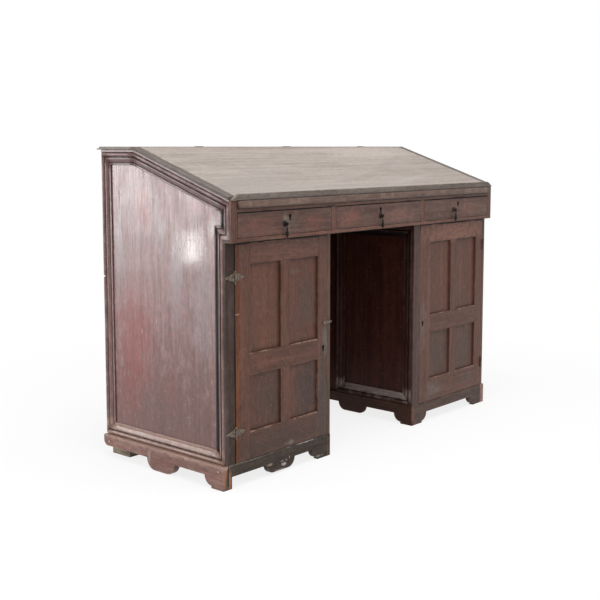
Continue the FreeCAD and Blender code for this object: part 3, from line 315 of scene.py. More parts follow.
def wood_finish(name, deep, pale, bare_and_highlight, haze, haze_share, gloss, dirt_and_shade=MAHOGANY_DIRT_AND_SHADE, shine=0.5, coat=None,
                lines=0.4, flecks=0.34, marks=True, order=None, patches=()):
    """Stained and worn wood: grain bands between two colours, clouding, pores, rubbed edges and painted
    highlights, soiling and painted shade, and haze.

    gloss is the least and the most roughness, shine the specular level, coat the least and the most weight of
    the polish, lines the share of dark fibre and flecks how far a fleck strays from the colour. Without marks
    there are no rubbed edges, painted highlights, soiling or painted shade. order turns object space so that
    its first axis is the grain, for a piece without its own grain attribute. Each patch is a centre, a reach,
    a turn, a colour and a share; most are stains and rubbed marks, some are painted top light and painted
    reflections.
    """
    made, tree, surface, place = new_finish(name, shine)
    if order is None:
        grain = wire(tree, "ShaderNodeAttribute", attribute_name="grain").outputs["Vector"]
    else:
        grain = wire(tree, "ShaderNodeMapping", {"Vector": place, "Rotation": order}).outputs[0]
    wood = wire(tree, "ShaderNodeGroup", {"Grain": grain}, node_tree=wood_figure).outputs
    fibre = rise(tree, wood["Fibre"], 0.30, 0.70)
    clouded = rise(tree, wood["Cloud"], 0.40, 0.62)
    dulled = sums(tree, "MULTIPLY", sums(tree, "ADD", clouded, fibre), 0.5)
    rough = between(tree, dulled, *gloss)
    colour = tint(tree, rise(tree, wood["Streak"], 0.34, 0.66), (*deep, 1), (*pale, 1))
    for share, over in ((sums(tree, "MULTIPLY", fibre, lines), [0.55 * part for part in deep]),
                        (sums(tree, "MULTIPLY", clouded, haze_share), haze),
                        (sums(tree, "MULTIPLY", wood["Pores"], 0.55), [0.3 * part for part in deep])):
        colour = tint(tree, share, colour, (*over, 1))
    for centre, reach, turn, paint, share in patches:
        patch = sums(tree, "MULTIPLY", smear(tree, place, centre, reach, turn), share)
        colour = tint(tree, patch, colour, (*paint, 1))
    fleck = between(tree, wood["Fleck"], 1 - flecks, 1 + flecks, 0.3, 0.7)
    colour = tint(tree, 1.0, colour, fleck, "MULTIPLY")
    if marks:
        tone, arris_and_highlight, grime_and_shade = (wire(tree, "ShaderNodeAttribute", attribute_name=mark).outputs["Fac"]
                              for mark in ("tone", "arris_and_highlight", "grime_and_shade"))
        colour = tint(tree, 1.0, colour, between(tree, tone, 0.90, 1.10, low=-1.0), "MULTIPLY")
        edges = wire(tree, "ShaderNodeGroup", {"ArrisAndHighlight": arris_and_highlight, "GrimeAndShade": grime_and_shade, "Place": place},
                     node_tree=edge_wear_and_shade).outputs
        # the worn colour also paints highlights, and the soiling colour also paints shade, wherever the point
        # attributes ask for it
        for share, over in ((sums(tree, "MULTIPLY", edges["Nicks"], 0.6), bare_and_highlight), (edges["BareAndHighlight"], bare_and_highlight),
                            (edges["DirtAndShade"], dirt_and_shade)):
            colour = tint(tree, share, colour, (*over, 1))
        rough = sums(tree, "ADD", rough, sums(tree, "MULTIPLY", edges["DirtAndShade"], 0.25))
    if coat:
        tree.links.new(between(tree, dulled, coat[1], coat[0]), surface.inputs["Coat Weight"])
        surface.inputs["Coat Roughness"].default_value = 0.085
    relief = sums(tree, "SUBTRACT", sums(tree, "MULTIPLY", wood["Fibre"], 0.5), wood["Pores"])
    bump = wire(tree, "ShaderNodeBump", {"Strength": 0.3, "Distance": 0.0005, "Height": relief})
    tree.links.new(colour, surface.inputs["Base Color"])
    tree.links.new(rough, surface.inputs["Roughness"])
    tree.links.new(bump.outputs[0], surface.inputs["Normal"])
    return made


side_patches = [((-OUTER_X, y, z), (0.1, along, up), 0, paint, share) for y, z, along, up, paint, share in (
    (0.02, 0.18, 0.70, 0.36, (0.092, 0.030, 0.022), 0.75),
    (0.17, 0.47, 0.13, 0.28, (0.215, 0.030, 0.024), 0.62),
    (0.22, 0.26, 0.12, 0.16, (0.160, 0.030, 0.022), 0.60),
    (-0.02, 0.30, 0.05, 0.12, (0.160, 0.046, 0.040), 0.45),
    (0.12, 0.95, 0.06, 0.12, (0.320, 0.120, 0.120), 0.45),
    (-0.16, 0.98, 0.05, 0.05, (0.340, 0.140, 0.140), 0.45),
    (-0.05, 0.72, 0.05, 0.22, (0.235, 0.203, 0.213), 0.50),
    (0.25, 0.85, 0.04, 0.25, (0.225, 0.185, 0.190), 0.45),
    (0.02, 0.85, 0.03, 0.12, (0.190, 0.165, 0.175), 0.45),
    (-0.19, 0.60, 0.09, 0.25, (0.235, 0.185, 0.188), 0.55),
    # painted reflection: a pale glare on the wall by the step
    (-0.245, 0.90, 0.030, 0.050, (0.42, 0.38, 0.38), 0.50),
    (0.055, 0.545, 0.003, 0.014, (0.50, 0.42, 0.40), 0.60),
    (0.135, 0.500, 0.003, 0.012, (0.50, 0.42, 0.40), 0.60))]
side_wood = wood_finish(
    "side_wood", (0.120, 0.042, 0.036), (0.245, 0.118, 0.108), (0.36, 0.24, 0.20), (0.280, 0.172, 0.168),
    0.60, (0.32, 0.52), shine=0.45, coat=(0.15, 0.80), patches=side_patches)
# painted shade: the kneehole walls take a much darker copy of the side mahogany, for the shade inside the
# kneehole
shaded_wall_wood = wood_finish(
    "shaded_wall_wood", (0.031, 0.009, 0.006), (0.055, 0.016, 0.011), (0.20, 0.11, 0.07), (0.060, 0.022, 0.016),
    0.35, (0.35, 0.55), shine=0.12)
outer_z = np.concatenate([np.linspace(0.08, FRIEZE_Z - STEP, 16), np.linspace(FRIEZE_Z + STEP, 1.0001, 5),
                          np.linspace(1.02, 1.145, 8)])


def outer_faces(x_low, x_high):
    """The four faces of an outer wall at each height: under the frieze its front edge stands behind the post,
    above that behind the frieze stile, and at last it follows the underside of the slope."""
    def faces(z):
        sloping = np.minimum(BREAK_Y - (TOP_Z - UNDER_TOP - z) / SLOPE, BREAK_Y)
        front = np.where(z > FRIEZE_Z, np.maximum(STILE_BACK_Y, sloping), POST_BACK_Y)
        return x_low, x_high, front, REAR_Y
    return faces


for name, x in (("left_side", (-OUTER_X, -INNER_X)), ("right_side", (INNER_X, OUTER_X))):
    wall = board("z", None, None, (WALL_FOOT_Z, TOP_Z - UNDER_TOP), stations=outer_z, faces=outer_faces(*x))
    piece(f"{name}_wall", [wall], "desk", "stained_wood", side_wood, f"{name}_board")
for name, x in (("left_kneehole", (-CUPBOARD_X, -KNEE_X)), ("right_kneehole", (KNEE_X, CUPBOARD_X))):
    wall = board("z", x, (POST_BACK_Y, BACK_Y), (WALL_FOOT_Z, FRIEZE_Z))
    piece(f"{name}_wall", [wall], "desk", "stained_wood", shaded_wall_wood, f"{name}_board")


# Side mouldings. A bead, a groove, a fillet, a bevel and an inner fillet are worked on lengths of mahogany.
# They are sawn to mitres and planted round each wall with glue and pins; old wax fills groove and quirk.

BEAD = 0.016
BEVEL = 0.026
QUIRK = (0.036, 0.040)
QUIRK_FILL = 0.0043
SAW_GAP = 0.00012
CHIP_HALF = 0.0028
CHIP_DEEP = 0.85
PLINTH_Z = 0.084
STEP_Z = 0.859
PEDESTAL_REVEAL_Y = -0.301
FRIEZE_REVEAL_Y = -0.331
FASCIA_DROP = 0.020
BEAD_RADIUS = BEAD / 2
BEAD_CENTRE = 0.013 - BEAD_RADIUS
KNEE_BACK_Y = 0.109
KNEE_HEAD_Z = 0.841
crown = np.radians(np.linspace(180, 0, 13))
# each row is the depth in from the edge, the height over the wall, the wear and the darkening, which is
# deepest in the groove, the quirk and at the foot
MOULDING = np.array(
    [(0.0, 0.0, 0, 0.4), (0.0, 0.003, 0.2, 0.2)]
    + [(BEAD_RADIUS * (1 + math.cos(a)), BEAD_CENTRE + BEAD_RADIUS * math.sin(a), 0.55 * math.sin(a), 0)
       for a in crown]
    + [(0.0162, 0.0034, 0, 1), (0.0170, 0.0030, 0, 1), (0.0198, 0.0030, 0, 1), (0.0204, 0.0034, 0, 1),
       (0.0205, 0.0084, 0.3, 0.3), (0.0210, 0.0090, 1, 0), (0.0217, 0.0090, 0.3, 0), (0.0246, 0.0090, 0.3, 0),
       (0.0252, 0.0089, 1, 0), (0.0260, 0.0086, 0.5, 0), (0.0270, 0.0082, 0, 0), (0.0352, 0.0050, 0, 0.1),
       (0.0362, 0.0046, 0.1, 0.6), (0.0366, 0.0040, 0, 1), (0.0367, 0.0024, 0, 1), (0.0372, 0.0020, 0, 1),
       (0.0390, 0.0020, 0, 1), (0.0394, 0.0024, 0, 1), (0.0396, 0.0044, 0.3, 0.5), (0.0401, 0.0050, 0.9, 0),
       (0.0408, 0.0050, 0.3, 0), (0.0464, 0.0050, 0.3, 0), (0.0471, 0.0049, 1, 0), (0.0475, 0.0044, 0.8, 0),
       (0.0475, 0.0010, 0, 0.8), (0.0475, 0.0, 0, 1)])


def mitred_moulding(outline, board_x, outward, chip=None, shaded_lengths=()):
    """The moulding's profile carried along each edge of a closed outline, one skin for each length.

    A profile point u in from the edge runs between the two corners moved in by u along their mitres, which
    are the sums of the neighbouring inward normals over one plus their dot product. A chip, given by the
    number of a length and a distance along it, takes the bead away on a bell curve. Dust hides the wear of
    the first length, which lies along the bottom, and fills the quirk beside its bevel; on the lengths listed
    as shaded, the bevel and inner fillet are painted black as shade.
    """
    corners = np.array(outline)
    runs = np.roll(corners, -1, axis=0) - corners
    lengths = np.linalg.norm(runs, axis=1, keepdims=True)
    inward = np.stack([-runs[:, 1], runs[:, 0]], axis=1) / lengths
    before = np.roll(inward, 1, axis=0)
    mitres = (before + inward) / (1 + np.sum(before * inward, axis=1, keepdims=True))
    depth, height, arris_and_highlight, grime_and_shade = MOULDING.T
    skins = []
    for index, length in enumerate(lengths[:, 0]):
        following = (index + 1) % len(corners)
        start = corners[index] + depth[:, None] * mitres[index]
        end = corners[following] + depth[:, None] * mitres[following]
        sawn = SAW_GAP / length
        share = np.linspace(sawn, 1 - sawn, max(4, int(length / 0.03)))
        if chip and chip[0] == index:
            share = np.union1d(share, (chip[1] + np.linspace(-0.008, 0.008, 17)) / length)
        flat = start + share[:, None, None] * (end - start)
        in_quirk = (index == 0) & (depth > QUIRK[0]) & (depth < QUIRK[1])
        filled = np.where(in_quirk, np.maximum(height, QUIRK_FILL), height)
        lift = filled * (1 + 0.03 * wander(share * length, 0.5, draw.uniform(0, 1, 3))[:, None])
        if chip and chip[0] == index:
            bell = np.exp(-((share * length - chip[1]) / CHIP_HALF) ** 2)
            lift = lift * (1 - CHIP_DEEP * bell[:, None] * (depth < BEAD + 0.001))
        points = np.concatenate([(board_x + outward * lift)[..., None], flat], axis=-1)
        along = flat @ (runs[index] / length)
        grain = np.stack([along, np.broadcast_to(depth, along.shape), lift], axis=-1) + draw.uniform(-9, 9, 3)
        dusty = np.where((index == 0) & (depth > BEVEL), 0.1, 1.0)
        # painted shade: on the shaded lengths the bevel and inner fillet are painted black
        shaded_bevel = (index in shaded_lengths) & (depth > BEVEL)
        grime_and_shaded_bevel = np.maximum(dusty * grime_and_shade, 4.0 * shaded_bevel)
        skins.append(shell(points, dusty * arris_and_highlight * ~shaded_bevel, grime_and_shaded_bevel, grain))
    return skins


outer_outline = [
    (PEDESTAL_REVEAL_Y, PLINTH_Z), (REAR_Y, PLINTH_Z), (REAR_Y, TOP_Z - FASCIA_DROP),
    (BREAK_Y, TOP_Z - FASCIA_DROP), (FRIEZE_REVEAL_Y, float(slope_z(FRIEZE_REVEAL_Y)) - FASCIA_DROP),
    (FRIEZE_REVEAL_Y, STEP_Z), (PEDESTAL_REVEAL_Y, STEP_Z)]
kneehole_outline = [(PEDESTAL_REVEAL_Y, PLINTH_Z), (KNEE_BACK_Y, PLINTH_Z), (KNEE_BACK_Y, KNEE_HEAD_Z),
                    (PEDESTAL_REVEAL_Y, KNEE_HEAD_Z)]
# dust, with painted top light: a pale colour laid on the upward-facing bottom moulding and the plinth's upper
# edge
DUST_AND_TOP_LIGHT = (0.328, 0.204, 0.162)
side_moulding = wood_finish(
    "side_moulding", (0.098, 0.040, 0.034), (0.200, 0.104, 0.094), (0.36, 0.26, 0.23),
    (0.215, 0.140, 0.132), 0.45, (0.34, 0.50), shine=0.35, coat=(0.05, 0.30), patches=[
        # dust with painted top light along the bottom length of the moulding
        ((-0.818, 0.02, 0.124), (0.03, 1.20, 0.034), 0, DUST_AND_TOP_LIGHT, 0.90),
        ((-0.825, 0.02, 0.090), (0.03, 1.20, 0.016), 0, DUST_AND_TOP_LIGHT, 0.85),
        # painted reflection: a pale glare on the moulding's return at the step
        ((-0.820, -0.315, 0.868), (0.03, 0.030, 0.030), 0, (0.45, 0.38, 0.36), 0.60)])
# painted shade: the kneehole mouldings take a darker copy of the side moulding, for the shade inside the
# kneehole
kneehole_moulding = wood_finish(
    "kneehole_moulding", (0.028, 0.010, 0.008), (0.058, 0.024, 0.018), (0.105, 0.064, 0.050),
    (0.066, 0.033, 0.026), 0.35, (0.40, 0.58), shine=0.08, patches=[
        # dust with painted top light along the bottom length
        ((0.276, -0.10, 0.124), (0.03, 0.60, 0.034), 0, (0.225, 0.180, 0.160), 0.85)])
# the front uprights of the side mouldings and the top length in the kneehole are listed as shaded and get
# painted shade on their bevels
for name, outline, board_x, outward, finish, chip, shaded_lengths in (
        ("left_side_moulding", outer_outline, -OUTER_X, -1, side_moulding, (1, 0.603), (4, 6)),
        ("right_side_moulding", outer_outline, OUTER_X, 1, side_moulding, None, (4, 6)),
        ("left_kneehole_moulding", kneehole_outline, -KNEE_X, 1, kneehole_moulding, None, (2,)),
        ("right_kneehole_moulding", kneehole_outline, KNEE_X, -1, kneehole_moulding, None, (2,))):
    lengths = mitred_moulding(outline, board_x, outward, chip, shaded_lengths)
    piece(f"{name}_lengths", lengths, "desk", "stained_wood", finish, name)


# Front posts and frieze stiles. Narrow uprights, glued to the front edges of the walls and rebated over the
# moulding's edge; years of hands have left the hinge post almost black.

FRONT_Y = -0.340
PEDESTAL_Y = -0.310
FACE = 0.009
POST_X = 0.823
POST_KNEE_X = 0.272
HINGE_POST_X = -0.779
LOCK_POST_X = 0.316
NARROW_POST_X = (-0.289, 0.806)
POST_Z = (PLINTH_Z, FRIEZE_Z)
STILE_Z = (FRIEZE_Z, 0.9916)


def front_marks(y, *rows):
    """Scuffs on a face that looks to the front: x, z, reach across, reach up, colour and share of each."""
    return [((x, y, z), (across, 0.05, up), 0, paint, share) for x, z, across, up, paint, share in rows]


post_wood = wood_finish(
    "post_wood", (0.028, 0.012, 0.008), (0.058, 0.030, 0.021), (0.13, 0.085, 0.07), (0.062, 0.040, 0.032),
    0.40, (0.38, 0.58), shine=0.2, patches=front_marks(
        PEDESTAL_Y,
        (-0.82, 0.20, 0.016, 0.26, (0.092, 0.070, 0.067), 0.6),
        (-0.80, 0.62, 0.020, 0.16, (0.070, 0.050, 0.046), 0.5)))
narrow_post_wood = wood_finish(
    "narrow_post_wood", (0.078, 0.038, 0.022), (0.150, 0.080, 0.048), (0.22, 0.13, 0.09),
    (0.11, 0.066, 0.046), 0.40, (0.36, 0.56), shine=0.3)
lock_post_wood = wood_finish(
    "lock_post_wood", (0.050, 0.022, 0.016), (0.100, 0.050, 0.037), (0.22, 0.13, 0.09),
    (0.085, 0.055, 0.046), 0.45, (0.36, 0.56), shine=0.3)
front_wood = wood_finish(
    "front_wood", (0.074, 0.027, 0.017), (0.148, 0.062, 0.042), (0.21, 0.12, 0.085), (0.110, 0.064, 0.051),
    0.45, (0.36, 0.56), shine=0.3)


def upright(face_x, tail_x, front, back, z):
    """A rebated upright: a thin face board and, behind it, the narrower tail that stands on the wall."""
    return [board("z", face_x, (front, front + FACE), z, rub_and_highlight=(0.4, 0.3, 0.3, 0.3), end_rub=0.3),
            board("z", tail_x, (front + FACE, back), z, ease=0.0006)]


def blackened(part, axis, low, high, depth=1.5, rear=1.0):
    """A dark line along a joint: a skin's points between two places on an axis, in front of a rear limit,
    take at least the given darkening. Under the frieze, above the drawers and at the doors' heads it is
    painted shade."""
    near = (part["points"][:, axis] > low) & (part["points"][:, axis] < high) & (part["points"][:, 1] < rear)
    part["grime_and_shade"] = np.where(near, np.maximum(part["grime_and_shade"], depth), part["grime_and_shade"])
    return part


def pedestal_upright(face_x, tail_x):
    """An upright at the front of a pedestal."""
    return upright(face_x, tail_x, PEDESTAL_Y, POST_BACK_Y, POST_Z)


hinge_upright = pedestal_upright((-POST_X, HINGE_POST_X), (-OUTER_X, HINGE_POST_X))
piece("left_hinge_upright", [blackened(part, 0, -0.7815, -0.778) for part in hinge_upright],
      "desk", "stained_wood", post_wood, "left_hinge_post")
piece("right_lock_upright", pedestal_upright((POST_KNEE_X, LOCK_POST_X), (KNEE_X, LOCK_POST_X)),
      "desk", "stained_wood", lock_post_wood, "right_lock_post")
lock_side, hinge_side = NARROW_POST_X
piece("narrow_uprights", pedestal_upright((lock_side, -POST_KNEE_X), (lock_side, -KNEE_X))
      + pedestal_upright((hinge_side, POST_X), (hinge_side, OUTER_X)),
      "desk", "stained_wood", narrow_post_wood, "narrow_posts")
end_stiles = []
for side in (-1, 1):
    face_x, tail_x, foot_x = (sorted((side * outer, side * inner)) for outer, inner in (
        (POST_X, INNER_X), (OUTER_X, INNER_X), (POST_X, OUTER_X)))
    end_stiles += upright(face_x, tail_x, FRONT_Y, STILE_BACK_Y, STILE_Z)
    foot = board("y", foot_x, (FRIEZE_REVEAL_Y, PEDESTAL_REVEAL_Y), (FRIEZE_Z, STEP_Z), ease=0.0006)
    end_stiles.append(foot)
piece("frieze_end_stiles", end_stiles, "desk", "stained_wood", front_wood, "frieze_stiles")


# Plinth. Boards sawn below to bracket feet, hanging lobes and rounded ends, nailed on round the feet of the
# walls; brooms and boots have scraped the front ones grey, and pale pins show in the left side's.

APRON_Z = 0.042
SCROLL = 0.034
LOBE_Z = 0.008
LOBE_HALF = 0.074
LOBE_ROOM = 0.076
FOOT = 0.060
GAP = 0.002
APRON_Y = (PEDESTAL_Y, -0.290)
APRON_KNEE_X = 0.270
STUB_X = -0.798
PLINTH_X = 0.839
PLINTH_END_Y = 0.336
END_RADIUS = 0.022
END_ROOM = 0.024
END_MARGIN = 0.0105
END_ROWS = 6


def scroll_up(edge, sign, radius=APRON_Z - LOBE_Z):
    """Quarter circle from the foot's riser up to the apron: the apron's height less the root of the radius
    squared less x squared."""
    x = radius * np.sin(np.radians(np.linspace(0, 90, 9)))
    return edge + sign * x, APRON_Z - np.sqrt(np.maximum(radius ** 2 - x ** 2, 0))


def lobe_line(centre, clear=LOBE_Z):
    """The hanging lobe: a quarter circle down, a flat and a quarter circle up."""
    x, z = scroll_up(centre + LOBE_HALF - APRON_Z + clear, 1, APRON_Z - clear)
    return np.concatenate([2 * centre - x[::-1], x]), np.concatenate([z[::-1], z])


def bracket_line(edge, sign):
    """A bracket foot from the board's end inwards: flat sole, short riser and quarter circle."""
    x, z = scroll_up(edge + sign * FOOT, sign)
    return np.concatenate([[edge, edge + sign * (FOOT - STEP)], x]), np.concatenate([[0, 0], z])


def plinth_board(along, pieces_of_line, thickness):
    """The board between its sawn lower line and the plinth's straight top, carried from end to end."""
    place = np.concatenate([part[0] for part in pieces_of_line])
    under = np.concatenate([part[1] for part in pieces_of_line])
    low, high = place[0], place[-1]
    inner = (place > low + END_MARGIN) & (place < high - END_MARGIN)

    def faces(s):
        ends = np.interp(s, place, under)
        feet = np.concatenate([ends[:END_ROWS], under[inner], ends[-END_ROWS:]])
        return (feet, PLINTH_Z, *thickness) if along == "y" else (*thickness, feet, PLINTH_Z)
    spans = [(low, high) if axis == along else None for axis in "xyz"]
    return board(along, *spans, ease=0.0014, stations=place[inner], faces=faces)


def flat_run(low, high):
    """A straight stretch of a sawn line, with a point about every 25 mm."""
    x = np.linspace(low, high, max(2, int(abs(high - low) / 0.025)))
    return x, np.full(len(x), APRON_Z)


lobe_y = (PEDESTAL_Y + PLINTH_END_Y) / 2
end_x = END_RADIUS * np.sin(np.radians(np.linspace(0, 90, 7)))
side_line, kneehole_line = [[
    bracket_line(PEDESTAL_Y, 1),
    flat_run(PEDESTAL_Y + FOOT + SCROLL + GAP, lobe_y - LOBE_ROOM),
    lobe_line(lobe_y, clear),
    flat_run(lobe_y + LOBE_ROOM, PLINTH_END_Y - END_ROOM),
    (PLINTH_END_Y - END_RADIUS + end_x, APRON_Z + END_RADIUS - np.sqrt(END_RADIUS ** 2 - end_x ** 2)),
] for clear in (0.001, LOBE_Z)]
END_GRAIN = (0.300, 0.135, 0.065)
SCRAPED = (0.46, 0.44, 0.42)
plinth_wood = wood_finish(
    "plinth_wood", (0.135, 0.048, 0.035), (0.265, 0.122, 0.095), (0.42, 0.28, 0.21), (0.270, 0.170, 0.145),
    0.50, (0.32, 0.52), shine=0.4, patches=[
        ((-0.825, PEDESTAL_Y, 0.045), (0.05, 0.006, 0.06), 0, END_GRAIN, 0.8),
        ((-PLINTH_X, 0.075, 0.050), (0.05, 0.010, 0.030), 0, (0.42, 0.36, 0.33), 0.45),
        ((-PLINTH_X, 0.250, 0.062), (0.05, 0.060, 0.012), 0, (0.34, 0.25, 0.22), 0.40),
        # dust with painted top light along the plinth's upper edge
        ((-0.832, 0.02, 0.084), (0.05, 1.20, 0.016), 0, DUST_AND_TOP_LIGHT, 0.85)])
right_apron_wood = wood_finish(
    "right_apron_wood", (0.054, 0.026, 0.018), (0.102, 0.056, 0.042), (0.20, 0.13, 0.10),
    (0.092, 0.066, 0.054), 0.50, (0.42, 0.64), shine=0.25)
# painted shade: the kneehole plinths take a darker copy of the plinth mahogany, for the shade inside the
# kneehole
shaded_kneehole_apron_wood = wood_finish(
    "shaded_kneehole_apron_wood", (0.034, 0.012, 0.007), (0.062, 0.024, 0.014), (0.14, 0.075, 0.05),
    (0.05, 0.024, 0.016), 0.45, (0.42, 0.64), shine=0.15, patches=[
        ((0.276, PEDESTAL_Y, 0.045), (0.03, 0.006, 0.06), 0, (0.190, 0.075, 0.045), 0.8)])
apron_wood = wood_finish(
    "apron_wood", (0.026, 0.016, 0.011), (0.054, 0.037, 0.028), (0.22, 0.19, 0.16), (0.066, 0.051, 0.043),
    0.50, (0.45, 0.70), shine=0.2, patches=front_marks(
        PEDESTAL_Y,
        (-0.809, 0.030, 0.014, 0.060, END_GRAIN, 0.8),
        (-0.531, 0.027, 0.018, 0.009, SCRAPED, 0.70),
        (-0.519, 0.039, 0.007, 0.004, SCRAPED, 0.65),
        (-0.503, 0.045, 0.004, 0.008, (0.40, 0.38, 0.36), 0.55),
        (-0.541, 0.040, 0.012, 0.003, (0.36, 0.33, 0.31), 0.55),
        (-0.607, 0.040, 0.020, 0.007, (0.40, 0.31, 0.24), 0.60),
        (-0.560, 0.010, 0.040, 0.007, (0.36, 0.30, 0.25), 0.60),
        (-0.412, 0.083, 0.070, 0.004, (0.40, 0.37, 0.35), 0.65),
        (-0.680, 0.081, 0.080, 0.003, (0.20, 0.17, 0.155), 0.60),
        (-0.335, 0.012, 0.030, 0.006, (0.30, 0.26, 0.22), 0.55)))
left_side_board = plinth_board("y", side_line, (-PLINTH_X, -OUTER_X))
piece("left_side_apron", [blackened(left_side_board, 0, -0.8135, -0.811)],
      "desk", "apron_wood", plinth_wood, "left_side_plinth")
piece("right_side_apron", [plinth_board("y", side_line, (OUTER_X, PLINTH_X))],
      "desk", "apron_wood", plinth_wood, "right_side_plinth")
piece("kneehole_aprons", [plinth_board("y", kneehole_line, x)
                          for x in ((-KNEE_X, -APRON_KNEE_X), (APRON_KNEE_X, KNEE_X))],
      "desk", "apron_wood", shaded_kneehole_apron_wood, "kneehole_plinths")
left_lobe_x = (-OUTER_X - KNEE_X) / 2
left_line = [
    (np.array([-OUTER_X, STUB_X, STUB_X + STEP]), np.array([0, 0, APRON_Z])),
    flat_run(-0.790, left_lobe_x - LOBE_ROOM),
    lobe_line(left_lobe_x),
    flat_run(left_lobe_x + LOBE_ROOM, -KNEE_X - FOOT - SCROLL - GAP),
    tuple(part[::-1] for part in bracket_line(-KNEE_X, -1)),
]
right_line = [
    bracket_line(KNEE_X, 1),
    flat_run(KNEE_X + FOOT + SCROLL + GAP, OUTER_X - FOOT - SCROLL - GAP),
    tuple(part[::-1] for part in bracket_line(OUTER_X, -1)),
]
for name, line, finish in (("left", left_line, apron_wood), ("right", right_line, right_apron_wood)):
    piece(f"{name}_front_apron", [plinth_board("x", line, APRON_Y)],
          "desk", "apron_wood", finish, f"{name}_front_plinth")


def unmarked(points, grain):
    """A closed skin without rubbed edges or dirt."""
    none = np.zeros((1, 1))
    return shell(points, none, none, grain)


def dome(x, y, z, facing, radius, height, slot=0.0):
    """A nail or screw head: rings round an axis, the height falling from the middle as the root of one less
    the radius squared, and a straight slot pressed in where its width is not nothing."""
    ring = np.concatenate([np.sin(np.radians(np.linspace(2, 90, 7))), [1.0]])
    angle = np.radians(np.arange(0, 360, 15))
    level = np.concatenate([np.sqrt(1 - ring[:-1] ** 2) * height, [-0.4 * height]])
    across, up = np.outer(ring, np.cos(angle)), np.outer(ring, np.sin(angle))
    lift = np.broadcast_to(level[:, None], across.shape)
    lift = np.where((np.abs(up) < slot) & (ring[:, None] < 0.99), lift - 0.7 * height, lift)
    cast = {"front": (across * radius, -lift, up * radius), "back": (across * radius, lift, up * radius),
            "left": (-lift, across * radius, up * radius)}[facing]
    points = np.stack(cast, axis=-1) + np.array([x, y, z])
    return unmarked(points, points + draw.uniform(-9, 9, 3))


def metal_finish(name, worn, dark, rough, metallic, patch, shine=0.5):
    """Old metal: worn and dark colours by a patchy noise, with fine pitting in the bump."""
    made, tree, surface, place = new_finish(name, shine)
    surface.inputs["Metallic"].default_value = metallic
    share = rise(tree, cloud(tree, place, (patch, patch, patch), 4.0, 0.65), 0.36, 0.66)
    pits = cloud(tree, place, (900.0, 900.0, 900.0), 2.0, 0.6)
    bump = wire(tree, "ShaderNodeBump", {"Strength": 0.3, "Distance": 0.0003, "Height": pits})
    tree.links.new(tint(tree, share, (*dark, 1), (*worn, 1)), surface.inputs["Base Color"])
    tree.links.new(between(tree, share, rough[1], rough[0]), surface.inputs["Roughness"])
    tree.links.new(bump.outputs[0], surface.inputs["Normal"])
    return made


pin_iron = metal_finish("pin_heads", (0.52, 0.47, 0.42), (0.30, 0.25, 0.21), (0.40, 0.60), 0.3, 110.0)
pins = [dome(-PLINTH_X, y, z, "left", 0.0034, 0.0010)
        for y, z in ((0.306, 0.060), (-0.121, 0.076), (-0.283, 0.065))]
piece("plinth_pins", pins, "desk", "iron", pin_iron)


# Back. Nine upright pine boards, rough from the saw and never polished, nailed between the outer walls and
# over the kneehole's; they have shrunk a little apart and gone grey-brown with dust.

BACK_Z = (PLINTH_Z, 1.159)
BOARD_COUNT = 9
UNEVEN = 0.0008
SHRUNK = 0.0006
NAIL_IN = 0.03
edges_x = np.linspace(-INNER_X, INNER_X, BOARD_COUNT + 1)
boards_x = list(zip(edges_x, edges_x[1:]))
rough_pine = wood_finish(
    "rough_pine", (0.150, 0.096, 0.056), (0.300, 0.205, 0.130), (0.42, 0.33, 0.24), (0.20, 0.165, 0.135),
    0.60, (0.68, 0.88), dirt_and_shade=(0.045, 0.030, 0.020))
piece("back_planks", [
    board("z", (low + SHRUNK, high - SHRUNK), (BACK_Y, REAR_Y - UNEVEN * (index % 2)), BACK_Z, ease=0.0018)
    for index, (low, high) in enumerate(boards_x)
], "desk", "pine", rough_pine, "back_boards")
iron = metal_finish("iron", (0.030, 0.026, 0.023), (0.006, 0.005, 0.004), (0.48, 0.72), 0.35, 110.0,
                    shine=0.15)
piece("back_nails", [
    dome(x, REAR_Y, z, "back", 0.0032, 0.0012)
    for low, high in boards_x for x in (low + NAIL_IN, high - NAIL_IN) for z in (0.11, 0.857, 1.13)
], "desk", "iron", iron)


# Frieze. Two rails and two short dividers frame the drawer openings; the rails are housed in the end stiles
# and carry the deck that the drawers run on. The dividers go on as guides behind.

RAIL_Y = (FRONT_Y, -0.280)
RAIL_X = (-INNER_X, INNER_X)
OPENING_Z = (0.864, 0.951)
RAIL_HEAD_Z = 0.972
GUIDE_HEAD_Z = 0.894
DIVIDER_X = 0.2864
DIVIDER_HALF = 0.0145
HOUSED = 0.0003
divider_x = [(side * DIVIDER_X - DIVIDER_HALF, side * DIVIDER_X + DIVIDER_HALF) for side in (-1, 1)]
lower_rail = board("x", RAIL_X, RAIL_Y, (FRIEZE_Z, OPENING_Z[0]), end_ease=HOUSED)
# painted shade along the lower edge of the frieze, which overhangs the doors
piece("frieze_lower_rail", [blackened(lower_rail, 2, 0.8495, 0.8523, depth=0.9)],
      "desk", "stained_wood", front_wood, "frieze_bottom_rail")
upper_rail = board("x", RAIL_X, RAIL_Y, (OPENING_Z[1], RAIL_HEAD_Z), end_ease=HOUSED)
# painted shade along the lower edge of the upper rail, in the gap above the drawers
piece("frieze_upper_rail", [blackened(upper_rail, 2, 0.9505, 0.9533, depth=1.2)],
      "desk", "stained_wood", front_wood, "frieze_top_rail")
piece("drawer_uprights", [board("z", x, RAIL_Y, OPENING_Z, end_ease=HOUSED) for x in divider_x]
      + [board("y", x, (RAIL_Y[1], BACK_Y), (OPENING_Z[0], GUIDE_HEAD_Z)) for x in divider_x],
      "desk", "stained_wood", front_wood, "drawer_dividers")


# Inside boards. Cupboard floors and shelves, the drawer deck, the floor of the well, the ledge's bearer and
# the foot blocks are plain pine, planed once and left bare; the solids keep their shape and take its look.

